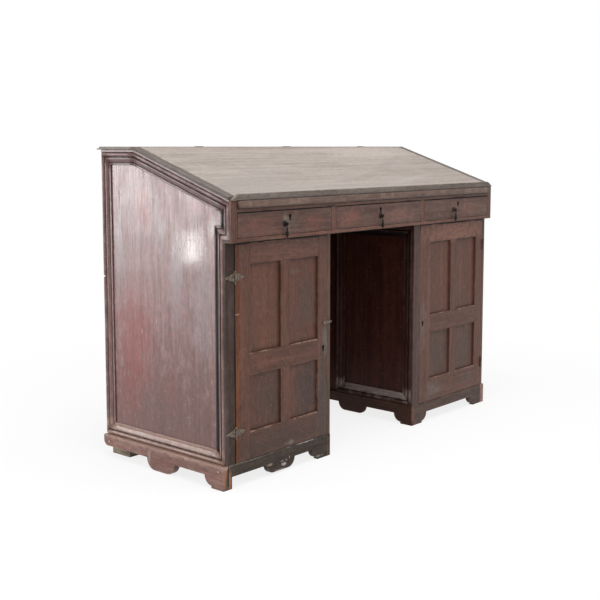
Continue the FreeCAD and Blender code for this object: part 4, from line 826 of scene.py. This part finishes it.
ALONG_X = (0.0, 0.0, 0.0)
ALONG_Y = (0.0, 0.0, math.radians(-90))
inside_pine = wood_finish(
    "inside_pine", (0.185, 0.110, 0.058), (0.330, 0.215, 0.120), None, (0.24, 0.17, 0.11), 0.45,
    (0.60, 0.80), marks=False, order=ALONG_X)
drawer_pine = wood_finish(
    "drawer_pine", (0.200, 0.120, 0.062), (0.345, 0.225, 0.125), None, (0.25, 0.18, 0.115), 0.45,
    (0.58, 0.78), marks=False, order=ALONG_Y)
# painted light: the foot blocks are made paler than their pine, to make up for the shade they stand in
brightened_block_wood = wood_finish(
    "brightened_block_wood", (0.120, 0.076, 0.045), (0.470, 0.370, 0.260), None, (0.360, 0.300, 0.240), 0.60,
    (0.75, 0.92), lines=0.6, flecks=0.6, marks=False, order=ALONG_Y)


def dress(finish, *names):
    """Gives solids of the model a finish in place of their own."""
    for name in names:
        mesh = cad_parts[name].data
        mesh.materials.clear()
        mesh.materials.append(finish)


dress(inside_pine, "cupboard_floors", "cupboard_shelves", "drawer_deck", "well_floor", "ledge_bearer")
dress(brightened_block_wood, "foot_blocks")


# Top. A flat ledge runs along the back, with a thin lower lip behind it, and a cap strip with a fascia below
# covers each sloping end; all are mahogany, bleached and dulled by light.

CAP_X = 0.829
CAP_FRONT_Y = -0.3306
LEDGE_Y = (BREAK_Y, 0.344)
LEDGE_LIP_Y = (0.341, 0.357)
LEDGE_LIP_HEAD_Z = 1.164
FASCIA_TOP = 0.0112
ledge_wood = wood_finish(
    "ledge_wood", (0.120, 0.092, 0.076), (0.200, 0.165, 0.142), (0.22, 0.18, 0.16), (0.230, 0.200, 0.180),
    0.50, (0.40, 0.60), shine=0.4)
cap_wood = wood_finish(
    "cap_wood", (0.060, 0.042, 0.033), (0.118, 0.092, 0.076), (0.20, 0.155, 0.13), (0.128, 0.104, 0.090),
    0.45, (0.44, 0.64), shine=0.3)
fascia_wood = wood_finish(
    "fascia_wood", (0.140, 0.068, 0.060), (0.240, 0.150, 0.138), (0.34, 0.25, 0.23), (0.260, 0.200, 0.190),
    0.50, (0.30, 0.46))


def sheared(part):
    """A flat skin laid on the slope: each point rises by the slope's height at its depth less the top's."""
    part["points"] = part["points"] + np.stack([np.zeros(len(part["points"]))] * 2
                                               + [slope_z(part["points"][:, 1]) - TOP_Z], axis=1)
    return part


piece("ledge_top", [
    board("x", (-CAP_X, CAP_X), LEDGE_Y, (BACK_Z[1], TOP_Z), ease=0.002),
    board("x", (-CAP_X, CAP_X), LEDGE_LIP_Y, (BACK_Z[1], LEDGE_LIP_HEAD_Z)),
], "desk", "grey_top", ledge_wood, "ledge_board")
fascia_z = (TOP_Z - FASCIA_DROP, TOP_Z - FASCIA_TOP)
for name, side in (("left", -1), ("right", 1)):
    cap_x, fascia_x = sorted((side * CAP_X, side * INNER_X)), sorted((side * POST_X, side * OUTER_X))
    cap = board("y", cap_x, (CAP_FRONT_Y, BREAK_Y), (TOP_Z - UNDER_TOP, TOP_Z), ease=0.0018)
    piece(f"{name}_cap_strip", [sheared(cap)], "desk", "grey_top", cap_wood, f"{name}_side_cap")
    piece(f"{name}_fascia", [
        sheared(board("y", fascia_x, (CAP_FRONT_Y, BREAK_Y), fascia_z)),
        board("y", fascia_x, (BREAK_Y, REAR_Y), fascia_z),
    ], "desk", "grey_top", fascia_wood)


# Writing lid. One wide sloping board with a moulded front edge and a book-stop lip fixed along it, hung on
# three butt hinges at the ledge; elbows and ink have left darker streaks in the bleached surface.

LID_X = (-0.792, 0.792)
LID_FRONT_Y = -0.331
LID_THICK = 0.0140
LID_SKIN = 0.0126
LIP_SEAT_Z = float(slope_z(LID_FRONT_Y)) - LID_THICK
LID_GAP = 0.0034
LIP_X = 0.820
LIP_THICK = 0.013
LIP_SLANT = 0.030
LIP_RISE = 0.017
LIP_END = 0.005
grey_wood = wood_finish(
    "grey_wood", (0.188, 0.148, 0.121), (0.266, 0.222, 0.190), (0.50, 0.45, 0.42), (0.322, 0.279, 0.248),
    0.45, (0.42, 0.62), lines=0.15, flecks=0.12, patches=[
        ((0.0, 0.160, TOP_Z), (1.2, 0.045, 0.1), 0, (0.165, 0.124, 0.100), 0.55),
        ((-0.30, 0.00, 1.118), (0.45, 0.030, 0.2), 0.42, (0.190, 0.158, 0.138), 0.45),
        ((0.10, 0.03, 1.128), (0.40, 0.022, 0.2), 0.36, (0.205, 0.175, 0.155), 0.45),
        ((0.42, -0.06, 1.098), (0.35, 0.028, 0.2), 0.40, (0.185, 0.155, 0.138), 0.45),
        ((-0.55, -0.18, 1.057), (0.34, 0.070, 0.2), 0.30, (0.210, 0.184, 0.168), 0.55),
        ((-0.05, -0.20, 1.050), (0.35, 0.030, 0.2), 0.25, (0.250, 0.222, 0.200), 0.45),
        ((0.30, -0.25, 1.033), (0.30, 0.025, 0.2), 0.20, (0.330, 0.295, 0.272), 0.40),
        ((-0.62, -0.25, 1.033), (0.36, 0.110, 0.2), 0.10, (0.206, 0.178, 0.160), 0.60),
        ((0.50, 0.08, 1.145), (0.50, 0.110, 0.2), 0.0, (0.365, 0.310, 0.274), 0.60),
        ((-0.20, -0.28, 1.024), (0.90, 0.060, 0.2), 0.0, (0.225, 0.196, 0.176), 0.50)])
underside_wood = wood_finish(
    "underside_wood", (0.100, 0.045, 0.028), (0.185, 0.095, 0.062), (0.26, 0.17, 0.12),
    (0.150, 0.088, 0.064), 0.45, (0.50, 0.70), shine=0.3)
for name, low, high, ease, finish in (("lid_top", LID_SKIN, 0.0, 0.0015, grey_wood),
                                      ("lid_underside", LID_THICK, LID_SKIN, 0.0004, underside_wood)):
    sheet = board("x", LID_X, (LID_FRONT_Y, BREAK_Y - LID_GAP), (TOP_Z - low, TOP_Z - high), ease=ease,
                  spacing=0.025)
    piece(name, [sheared(sheet)], "lid", "grey_top", finish, "lid_board")


def lip_faces(x):
    """The book-stop lip: its top falls on a straight slant towards each end."""
    top = np.clip((LIP_X - np.abs(x)) / LIP_SLANT, 0, 1) * LIP_RISE + LIP_END
    return LID_FRONT_Y - LIP_THICK, LID_FRONT_Y, LIP_SEAT_Z, LIP_SEAT_Z + top


lip_ends = np.array([0.8085, 0.802, 0.796, 0.7905, 0.7895])
lip_stations = np.concatenate([-lip_ends, np.linspace(-0.77, 0.77, 50), lip_ends[::-1]])
lip_wood = wood_finish(
    "lip_wood", (0.098, 0.072, 0.058), (0.165, 0.132, 0.112), (0.24, 0.19, 0.16), (0.190, 0.160, 0.140),
    0.45, (0.40, 0.58), shine=0.3)
stop = board("x", (-LIP_X, LIP_X), None, None, ease=0.0018, stations=lip_stations, faces=lip_faces)
piece("book_stop", [stop], "lid", "stained_wood", lip_wood, "lid_lip")


def carried(along, profile, low, high, arris_and_highlight, grime_and_shade, spacing=0.05):
    """A closed profile carried straight along an axis from low to high."""
    axis, first, second = CROSS_AXES[along]
    place = np.linspace(low, high, max(3, int((high - low) / spacing)))
    points = np.zeros((len(place), len(profile), 3))
    points[..., axis] = place[:, None]
    points[..., first] = profile[:, 0]
    points[..., second] = profile[:, 1]
    grain = points[..., [axis, first, second]] + draw.uniform(-9, 9, 3)
    return shell(points, arris_and_highlight[None, :], grime_and_shade[None, :], grain)


OVOLO_RADIUS = 0.0096
OVOLO_BACK_Y = -0.310
OVOLO_FOOT = (-0.3404, 0.9724)
quarter = np.radians(np.linspace(180, 270, 9))
ovolo_curve = np.stack([OVOLO_FOOT[0] + OVOLO_RADIUS * np.cos(quarter),
                        0.9726 + OVOLO_RADIUS * np.sin(quarter)], axis=1)
ovolo = np.concatenate([
    [(OVOLO_BACK_Y, OVOLO_FOOT[1]), (OVOLO_BACK_Y, LIP_SEAT_Z + 0.0069), (LID_FRONT_Y, LIP_SEAT_Z - 0.0002),
     (-0.3468, LIP_SEAT_Z - 0.0002), (-0.3494, LIP_SEAT_Z - 0.0013), (-0.350, LIP_SEAT_Z - 0.0036)],
    ovolo_curve, [OVOLO_FOOT]])
ovolo_arris = np.array([0, 0, 0, 0.5, 0.9, 0.7] + [0.5, 0.3, 0.2, 0.1, 0, 0, 0, 0, 0] + [0])
# painted shade: darker in the crease under the lip and round the underside of the curve
ovolo_shade = np.array([0, 0, 0, 1.5, 0.6, 0] + [0, 0, 0.1, 0.2, 0.4, 0.7, 1, 1.5, 1.5] + [1.5])
ovolo_wood = wood_finish(
    "ovolo_wood", (0.090, 0.047, 0.034), (0.165, 0.098, 0.073), (0.25, 0.17, 0.13), (0.152, 0.106, 0.083),
    0.50, (0.34, 0.50), shine=0.3)
piece("lid_edge_moulding", [carried("x", ovolo, *LID_X, ovolo_arris, ovolo_shade)],
      "lid", "stained_wood", ovolo_wood, "lid_ovolo")
hinge_iron = metal_finish("lid_hinge_iron", (0.190, 0.165, 0.145), (0.085, 0.070, 0.058), (0.50, 0.70), 0.5,
                          110.0)
dress(drawer_pine, "lid_battens")
dress(hinge_iron, "lid_hinge_bases", "lid_hinge_leaves")


# Doors. Each is a mahogany frame, two stiles, three rails and two muntins tenoned and pinned together, round
# four thin panels held in grooves. The left one has a strip of redder wood let in along its hinge edge.

DOOR_Z = (0.086, 0.846)
DOOR_Y = (PEDESTAL_Y, -0.288)
RAILS = ((0.086, 0.184), (0.382, 0.460), (0.770, 0.846))
PANEL_Y = (-0.301, -0.293)
GROOVE = 0.003
MUNTIN = 0.046
KEY_HEAD = 0.0053
KEY_SIDE = 0.0027
KEY_FOOT = 0.0138
RING_COUNT = 96
ring_angle = np.radians(-135 + 360 * np.arange(RING_COUNT) / RING_COUNT)


def keyhole_ring(x, z, grow):
    """The keyhole's outline about its round head: along each of the ring's directions as far as the head's
    circle or, downwards, the side or foot of the slot."""
    to_side = (KEY_SIDE + grow) / np.maximum(np.abs(np.cos(ring_angle)), 1e-6)
    to_foot = (KEY_FOOT + grow) / np.maximum(-np.sin(ring_angle), 1e-6)
    head = KEY_HEAD + grow
    reach = np.where(np.sin(ring_angle) < 0, np.maximum(head, np.minimum(to_side, to_foot)), head)
    return x + reach * np.cos(ring_angle), z + reach * np.sin(ring_angle)


def round_ring(x, z, radius):
    """A circle with as many points as the keyhole's outline."""
    return x + radius * np.cos(ring_angle), z + radius * np.sin(ring_angle)


def square_ring(x, z, inset):
    """A rectangle drawn in by an inset, with a quarter of the keyhole's points on each side."""
    share = np.arange(RING_COUNT // 4) / (RING_COUNT // 4)
    low_x, high_x, low_z, high_z = x[0] + inset, x[1] - inset, z[0] + inset, z[1] - inset
    wide, tall = low_x + share * (high_x - low_x), low_z + share * (high_z - low_z)
    fixed = np.ones(len(share))
    return (np.concatenate([wide, high_x * fixed, wide[::-1] + (high_x - wide[-1]), low_x * fixed]),
            np.concatenate([low_z * fixed, tall, high_z * fixed, tall[::-1] + (high_z - tall[-1])]))


def bored_board(x, y, z, keyhole, along, ease=0.0012):
    """A board with a keyhole: rings run from the foot of the hole out over its lip, across the face to the
    rounded edges, round the sides and over the back. The hole's walls and foot are painted near black as
    shade, and its lip darker."""
    hole_x, hole_z = keyhole
    room = min(hole_x - x[0], x[1] - hole_x, hole_z - z[0], z[1] - hole_z)
    front, back = y
    turn = np.radians([0, 30, 60, 90])
    # painted shade: the rings in the hole and at its lip take a darkening that turns them near black
    rings = [(keyhole_ring(hole_x, hole_z, grow), front + deep, arris_and_highlight, grime_and_shade)
             for grow, deep, arris_and_highlight, grime_and_shade in (
                 (-0.0002, 0.014, 0, 3), (0.0, 0.004, 0, 3), (0.0001, 0.0008, 0, 3), (0.0006, 0.0, 0.1, 2),
                 (0.0026, 0.0, 0.3, 0.1))]
    rings.append((round_ring(hole_x, hole_z, min(0.018, 0.9 * room)), front, 0.1, 0))
    wide = min(0.006, 0.3 * (x[1] - x[0]), 0.3 * (z[1] - z[0]), max(0.0004, room - 0.0195))
    for inset, arris_and_highlight in ((ease + wide, 0), (ease + min(0.0014, 0.5 * wide), 0.3)):
        rings.append((square_ring(x, z, inset), front, 0.4 * arris_and_highlight, 0))
    narrow, fall = ease * (1 - np.sin(turn)), ease * (1 - np.cos(turn))
    rings += [(square_ring(x, z, inset), front + deep, 0.4, 0) for inset, deep in zip(narrow, fall)]
    rings += [(square_ring(x, z, inset), back - deep, 0.2, 0) for inset, deep in zip(fall, narrow)]
    points = np.stack([np.stack([ring[0], np.full(RING_COUNT, depth), ring[1]], axis=1)
                       for ring, depth, _, _ in rings])
    arris_and_highlight = np.array([[mark] for _, _, mark, _ in rings])
    grime_and_shade = np.array([[mark] for _, _, _, mark in rings])
    order = [0, 2, 1] if along == "x" else [2, 0, 1]
    return shell(points, arris_and_highlight, grime_and_shade, points[..., order] + draw.uniform(-9, 9, 3))


def shaded_head(part):
    """A board of a door with a painted shadow along its upper edge, under the frieze's overhang."""
    return blackened(part, 2, 0.8432, 0.847, rear=-0.295)


def door_stile(x):
    """A plain upright of a door's frame."""
    return board("z", x, DOOR_Y, DOOR_Z, rub_and_highlight=(0.3, 0.3, 0.2, 0.2), end_rub=0.4)


def door_shells(x, low_stile, high_stile, keyhole):
    """The boards of one door's frame and, apart, its four panels, painted with shade along their edges; the
    rails' upper arrises are painted pale as a highlight where a panel stands on them, and the frame's boards
    take a painted shadow along their upper edges."""
    low, high = x[0] + low_stile, x[1] - high_stile
    middle = (low + high) / 2
    muntin_x = (middle - MUNTIN / 2, middle + MUNTIN / 2)
    shells = []
    for stile_x in ((x[0], low), (high, x[1])):
        bored = stile_x[0] < keyhole[0] < stile_x[1]
        shells.append(bored_board(stile_x, DOOR_Y, DOOR_Z, keyhole, "z") if bored else door_stile(stile_x))
    beside = np.array([-0.0015, -0.0005, 0.0005, 0.0015])
    stations = np.concatenate([np.linspace(low + 0.02, muntin_x[0] - 0.01, 5), muntin_x[0] + beside,
                               muntin_x[1] + beside, np.linspace(muntin_x[1] + 0.01, high - 0.02, 5)])
    for z in RAILS:
        # painted highlight: each rail's upper corner is painted pale, where light from above falls on it
        rail = board("x", (low, high), DOOR_Y, z, end_ease=HOUSED, stations=stations, rub_and_highlight=(0.2, 0, 0, 2.5),
                     end_rub=0)
        rail["arris_and_highlight"] = np.where(np.abs(rail["points"][:, 0] - middle) < MUNTIN / 2, 0, rail["arris_and_highlight"])
        shells.append(rail)
    panels = []
    for (_, foot), (head, _) in zip(RAILS, RAILS[1:]):
        muntin = board("z", muntin_x, DOOR_Y, (foot, head), end_ease=HOUSED, rub_and_highlight=(0.3, 0.3, 0, 0), end_rub=0)
        shells.append(muntin)
        panel_z = (foot - GROOVE, head + GROOVE)
        # painted shade along each panel's edges inside the frame
        panels += [board("z", (left - GROOVE, right + GROOVE), PANEL_Y, panel_z, sunk=True)
                   for left, right in ((low, muntin_x[0]), (muntin_x[1], high))]
    return [shaded_head(part) for part in shells], panels


WORN_GREY = (0.135, 0.118, 0.112)
door_scuffs = front_marks(
    PEDESTAL_Y,
    (-0.298, 0.455, 0.030, 0.085, WORN_GREY, 0.70),
    (-0.300, 0.24, 0.018, 0.12, WORN_GREY, 0.40),
    (-0.56, 0.12, 0.420, 0.095, (0.060, 0.036, 0.028), 0.65))
door_scuffs.append(((-0.50, PEDESTAL_Y, 0.10), (0.030, 0.01, 0.012), 0, (0.24, 0.21, 0.19), 0.50))
door_scuffs += front_marks(
    PEDESTAL_Y,
    (-0.64, 0.42, 0.110, 0.03, (0.130, 0.050, 0.034), 0.55),
    (-0.745, 0.50, 0.018, 0.36, (0.155, 0.058, 0.034), 0.65),
    (-0.54, 0.81, 0.420, 0.06, (0.148, 0.067, 0.050), 0.50),
    (-0.316, 0.22, 0.060, 0.24, (0.062, 0.043, 0.038), 0.75),
    (0.345, 0.43, 0.030, 0.14, (0.120, 0.088, 0.076), 0.50),
    (0.57, 0.81, 0.420, 0.06, (0.222, 0.102, 0.075), 0.70),
    (0.42, 0.13, 0.080, 0.05, WORN_GREY, 0.45),
    (0.70, 0.14, 0.080, 0.04, (0.080, 0.055, 0.046), 0.50))
door_wood = wood_finish(
    "door_wood", (0.078, 0.028, 0.016), (0.138, 0.055, 0.034), (0.27, 0.17, 0.125), (0.104, 0.053, 0.038),
    0.45, (0.36, 0.56), shine=0.3, patches=door_scuffs)
panel_scuffs = front_marks(
    PANEL_Y[0],
    (-0.39, 0.28, 0.130, 0.18, (0.046, 0.028, 0.024), 0.85),
    (-0.60, 0.28, 0.120, 0.16, (0.064, 0.036, 0.028), 0.75),
    (-0.40, 0.60, 0.080, 0.14, (0.072, 0.044, 0.038), 0.60))
panel_scuffs.append(((-0.470, PANEL_Y[0], 0.722), (0.070, 0.02, 0.014), 0, (0.135, 0.095, 0.082), 0.35))
panel_scuffs += front_marks(
    PANEL_Y[0],
    (0.47, 0.28, 0.130, 0.17, (0.062, 0.035, 0.025), 0.80),
    (0.68, 0.28, 0.130, 0.17, (0.062, 0.035, 0.025), 0.75))
panel_wood = wood_finish(
    "panel_wood", (0.098, 0.034, 0.020), (0.136, 0.051, 0.031), (0.27, 0.16, 0.11), (0.098, 0.050, 0.037),
    0.45, (0.34, 0.52), shine=0.3, lines=0.3, patches=panel_scuffs)
lipping_wood = wood_finish(
    "lipping_wood", (0.114, 0.029, 0.008), (0.208, 0.063, 0.020), (0.30, 0.15, 0.09), (0.126, 0.050, 0.024),
    0.40, (0.34, 0.50), shine=0.25, patches=front_marks(
        PEDESTAL_Y,
        (-0.767, 0.603, 0.030, 0.003, (0.40, 0.27, 0.18), 0.75),
        (-0.767, 0.35, 0.030, 0.16, (0.190, 0.062, 0.022), 0.50)))
for name, x, low_stile, high_stile, keyhole in (
        ("left_door", (-0.7575, -0.2905), 0.052, 0.052, (-0.3125, 0.425)),
        ("right_door", (0.3175, 0.8036), 0.076, 0.052, (0.3395, 0.432))):
    frame_boards, panels = door_shells(x, low_stile, high_stile, keyhole)
    piece(f"{name}_boards", frame_boards, name, "stained_wood", door_wood, f"{name}_frame")
    piece(f"{name}_fields", panels, name, "stained_wood", panel_wood, f"{name}_panels")
strip = blackened(door_stile((-0.7775, -0.7575)), 0, -0.778, -0.7762)
piece("left_door_strip", [shaded_head(strip)], "left_door", "lipping_wood", lipping_wood, "left_door_lipping")
brass = metal_finish("brass", (0.205, 0.160, 0.122), (0.070, 0.048, 0.036), (0.42, 0.64), 0.40, 140.0)
rusty_iron = metal_finish("rusty_iron", (0.110, 0.072, 0.056), (0.034, 0.021, 0.016), (0.45, 0.70), 0.4, 90.0)
dress(iron, "left_door_lock", "right_door_lock")
dress(rusty_iron, "right_hinge_bases", "right_hinge_leaves")
dress(brass, "left_door_button")
HINGE_X = -0.77825
HINGE_ROOT = 0.0034
HINGE_REACH = 0.046
HINGE_Z = (0.193, 0.731)
LEAF_Y = (PEDESTAL_Y - 0.002, PEDESTAL_Y)
NECK_X = (0.0010, 0.0038)
NECK_HALF = 0.0074
KNUCKLE_Y = PEDESTAL_Y - 0.0032
KNUCKLE = [(0.0004, -0.0075), (0.0027, -0.0075), (0.0030, -0.0071), (0.0030, 0.0071), (0.0027, 0.0075),
           (0.0004, 0.0075)]


def turned(x, y, z, profile, standing=True):
    """A turned piece: a profile of radius and height carried round an upright axis or one to the front."""
    angle = np.radians(np.arange(0, 360, 12))
    radius, height = np.array(profile).T
    across, deep = np.outer(radius, np.cos(angle)), np.outer(radius, np.sin(angle))
    level = np.broadcast_to(height[:, None], across.shape)
    cast = [across, deep, level] if standing else [across, -level, deep]
    points = np.stack(cast, axis=-1) + np.array([x, y, z])
    return unmarked(points, points + draw.uniform(-9, 9, 3))


def hinge_leaf(side, z, knuckles):
    """A butterfly leaf: its half height falls straight from the knuckles to the tip, less the dips of a
    cosine wave; knuckles stand on the joint and three screws hold it."""
    root, tip = HINGE_X + side * HINGE_ROOT, HINGE_X + side * HINGE_REACH
    low, high = sorted((root, tip))

    def faces(x):
        share = (x - root) / (tip - root)
        half = (0.017 - 0.015 * share) * (0.76 + 0.24 * np.abs(np.cos(2.5 * np.pi * share)))
        return *LEAF_Y, z - half, z + half
    stations = np.linspace(low + 0.0055, high - 0.0055, 21)
    parts = [board("x", (low, high), None, None, ease=0.0005, stations=stations, faces=faces)]
    for level in knuckles:
        neck_x = sorted(HINGE_X + side * reach for reach in NECK_X)
        parts.append(board("z", neck_x, LEAF_Y, (z + level - NECK_HALF, z + level + NECK_HALF), ease=0.0004))
        parts.append(turned(HINGE_X, KNUCKLE_Y, z + level, KNUCKLE))
    return parts + [dome(HINGE_X + side * across, LEAF_Y[0], z + up, "front", 0.0024, 0.0007, slot=0.2)
                    for across, up in ((0.010, 0.0085), (0.010, -0.0085), (0.030, 0.0))]


for name, side, knuckles, body in (("left_hinge_bases", -1, (-0.0154, 0.0154), "desk"),
                                   ("left_hinge_leaves", 1, (0.0,), "left_door")):
    leaves = [part for z in HINGE_Z for part in hinge_leaf(side, z, knuckles)]
    piece(f"{name}_cut_brass", leaves, body, "brass", brass, name)


# Drawers. Three plain fronts with pine boxes behind them slide on the deck; each has a keyhole and a
# cast-iron pear drop that hangs on a pin between the lugs of its rosette.

DRAWER_Y = (FRONT_Y, -0.320)
DRAWER_Z = (0.8655, 0.9495)
DRAWER_KEY_Z = 0.929
PULL_Y = FRONT_Y - 0.0105
PULL_Z = 0.902
PIN = 0.0022
PIN_HALF = 0.0050
LUG_Z = (PULL_Z - 0.0035, PULL_Z + 0.0035)
LUG_Y = (PULL_Y - 0.0030, FRONT_Y - 0.003)
LOCK_HALF = 0.030
LOCK_Y = (DRAWER_Y[1], -0.308)
LOCK_Z = (0.9095, DRAWER_Z[1])
# each row is a radius and a height
ROSETTE = [(0.0005, 0.0048), (0.0040, 0.0046), (0.0058, 0.0040), (0.0066, 0.0031), (0.0078, 0.0030),
           (0.0094, 0.0026), (0.0105, 0.0017), (0.0110, 0.0006), (0.0108, 0.0)]
PEAR = [(0.0004, -0.0490), (0.0016, -0.0486), (0.0024, -0.0468), (0.0020, -0.0450), (0.0019, -0.0438),
        (0.0040, -0.0422), (0.0057, -0.0400), (0.0062, -0.0380), (0.0059, -0.0350), (0.0051, -0.0310),
        (0.0040, -0.0270), (0.0028, -0.0235), (0.0024, -0.0215), (0.0030, -0.0200), (0.0030, -0.0185),
        (0.0022, -0.0172), (0.0017, -0.0150), (0.0016, -0.0100), (0.0018, -0.0055), (0.0015, -0.0040)]
drawer_front_wood = wood_finish(
    "drawer_front_wood", (0.064, 0.026, 0.018), (0.125, 0.060, 0.044), (0.20, 0.125, 0.09),
    (0.105, 0.070, 0.056), 0.45, (0.36, 0.56), shine=0.3, patches=front_marks(
        FRONT_Y,
        (-0.69, 0.900, 0.090, 0.045, (0.140, 0.050, 0.036), 0.55),
        (-0.40, 0.900, 0.090, 0.045, (0.145, 0.052, 0.038), 0.60),
        (-0.53, 0.900, 0.050, 0.040, (0.090, 0.064, 0.048), 0.60),
        (-0.553, 0.920, 0.018, 0.032, (0.215, 0.185, 0.155), 0.42),
        (-0.19, 0.905, 0.090, 0.050, (0.170, 0.062, 0.045), 0.60),
        (0.12, 0.900, 0.130, 0.045, (0.160, 0.076, 0.058), 0.55),
        (0.64, 0.905, 0.090, 0.045, (0.150, 0.066, 0.048), 0.55)))


def wire_ring(x, y, z, radius, wire_radius):
    """A wire eye in the plane across the pin: a circle carried round a circle."""
    big, small = np.radians(np.meshgrid(np.arange(0, 361, 15), np.arange(0, 360, 45), indexing="ij"))
    reach = radius + wire_radius * np.cos(small)
    points = np.stack([wire_radius * np.sin(small), reach * np.cos(big), reach * np.sin(big)], axis=-1)
    return unmarked(points + np.array([x, y, z]), points)


for name, x, key_shift, pull_shift in (("left_drawer", (-0.7925, -0.3024), 0.017, -0.010),
                                       ("middle_drawer", (-0.2704, 0.2704), 0.0, 0.0),
                                       ("right_drawer", (0.3024, 0.7925), 0.005, -0.027)):
    key_x = (x[0] + x[1]) / 2 + key_shift
    centre = (x[0] + x[1]) / 2 + pull_shift
    face = bored_board((x[0] + 0.0002, x[1] - 0.0002), DRAWER_Y, DRAWER_Z, (key_x, DRAWER_KEY_Z), "x")
    # painted shade along the drawer front's upper edge, in the gap under the rail
    piece(f"{name}_face", [blackened(face, 2, 0.9481, 0.950, depth=1.2)],
          name, "stained_wood", drawer_front_wood, f"{name}_front")
    dress(drawer_pine, f"{name}_box")
    lugs = [board("y", (centre + low, centre + high), LUG_Y, LUG_Z, ease=0.0007)
            for low, high in ((-0.0041, -0.0021), (0.0021, 0.0041))]
    pin = board("x", (centre - PIN_HALF, centre + PIN_HALF), (PULL_Y - PIN, PULL_Y + PIN),
                (PULL_Z - PIN, PULL_Z + PIN), ease=0.0010)
    lock = board("x", (key_x - LOCK_HALF, key_x + LOCK_HALF), LOCK_Y, LOCK_Z, ease=0.0006)
    rosette = turned(centre, FRONT_Y, PULL_Z, ROSETTE, standing=False)
    piece(f"{name}_rosette", [rosette, *lugs, pin, lock], name, "iron", iron, f"{name}_ironwork")
    drop = [turned(centre, PULL_Y, PULL_Z, PEAR), wire_ring(centre, PULL_Y, PULL_Z, 0.004, 0.0014)]
    piece(f"{name}_pear_drop", drop, f"{name}_pull", "iron", iron, f"{name}_pendant")


# Studio. A pale floor that runs out into a white surround, three large soft lamps, the left one with rows
# below it that dim towards the floor, a small one mirrored in the left wall, and the photograph's view.

WHITE = (1, 1, 1, 1)
floor_mesh = bpy.data.meshes.new("studio_floor")
floor_mesh.from_pydata([(-30, -30, 0), (30, -30, 0), (30, 30, 0), (-30, 30, 0)], [], [(0, 1, 2, 3)])
floor = bpy.data.objects.new("studio_floor", floor_mesh)
bpy.context.scene.collection.objects.link(floor)


def looked_at(tree):
    """1 for what the camera sees, also in a gloss or through glass, and 0 for light on other things."""
    seen = wire(tree, "ShaderNodeLightPath").outputs
    mirrored = sums(tree, "MAXIMUM", seen["Is Glossy Ray"], seen["Is Transmission Ray"])
    return sums(tree, "MAXIMUM", seen["Is Camera Ray"], mirrored)


paper, paper_tree, paper_surface, paper_place = new_finish("studio_paper", 0.5)
paper_surface.inputs["Base Color"].default_value = (0.86, 0.86, 0.86, 1)
paper_surface.inputs["Roughness"].default_value = 0.9
away = wire(paper_tree, "ShaderNodeVectorMath", {0: paper_place}, operation="LENGTH").outputs["Value"]
fade = wire(paper_tree, "ShaderNodeMapRange", {
    "Value": away, "From Min": 1.0, "From Max": 2.6, "To Min": 0.82, "To Max": 1.0,
}, interpolation_type="SMOOTHSTEP").outputs[0]
glow = wire(paper_tree, "ShaderNodeEmission", {"Color": WHITE, "Strength": 1.0})
white_share = sums(paper_tree, "MULTIPLY", looked_at(paper_tree), fade)
blend = wire(paper_tree, "ShaderNodeMixShader", {
    0: white_share, 1: paper_surface.outputs[0], 2: glow.outputs[0]})
paper_tree.links.new(blend.outputs[0], paper_tree.nodes["Material Output"].inputs[0])
floor_mesh.materials.append(paper)

world = bpy.data.worlds.new("studio_world")
bpy.context.scene.world = world
world.use_nodes = True
sky = world.node_tree
sky.nodes["Background"].inputs["Color"].default_value = WHITE
sky.links.new(between(sky, looked_at(sky), 0.42, 1.0), sky.nodes["Background"].inputs["Strength"])


def soft_lamp(name, place, aim, size, power):
    """A flat soft box that faces a point."""
    light = bpy.data.lights.new(name, "AREA")
    light.shape = "RECTANGLE"
    light.size, light.size_y = size
    light.energy = power
    lamp = bpy.data.objects.new(name, light)
    lamp.location = place
    away = np.array(place) - np.array(aim)
    flat = math.hypot(away[0], away[1])
    lamp.rotation_euler = (math.atan2(flat, away[2]), 0, math.atan2(away[0], -away[1]))
    bpy.context.scene.collection.objects.link(lamp)


soft_lamp("top_lamp", (-0.4, -0.9, 3.6), (0.0, 0.0, 0.8), (3.2, 2.4), 120.0)
soft_lamp("front_lamp", (-1.6, -3.8, 2.4), (0.0, 0.0, 0.6), (2.0, 1.6), 30.0)
soft_lamp("left_lamp", (-3.4, 2.9, 1.67), (-0.8, 0.0, 1.35), (2.2, 1.30), 60.0)
for row, power in enumerate((1.8, 4.8, 8.8, 13.2)):
    height = 0.145 + 0.25 * row
    soft_lamp(f"left_lamp_row_{row}", (-3.4, 2.9, height), (-0.8, 0.0, height), (2.2, 0.25), power)
soft_lamp("small_lamp", (-3.24, 2.482, 0.48), (-0.81, -0.17, 0.83), (0.10, 0.20), 1.6)

camera_data = bpy.data.cameras.new("camera")
camera_data.sensor_width = 36.0
camera_data.lens = 62.03
camera_data.shift_x = -0.0035
camera_data.shift_y = -0.0687
camera_data.clip_end = 200.0
camera = bpy.data.objects.new("camera", camera_data)
camera.location = (-3.2362, -2.7567, 1.1712)
camera.rotation_euler = (math.radians(90 - 6.21), 0, math.radians(-48.89))
bpy.context.scene.collection.objects.link(camera)
bpy.context.scene.camera = camera
bpy.context.scene.view_settings.view_transform = "Standard"
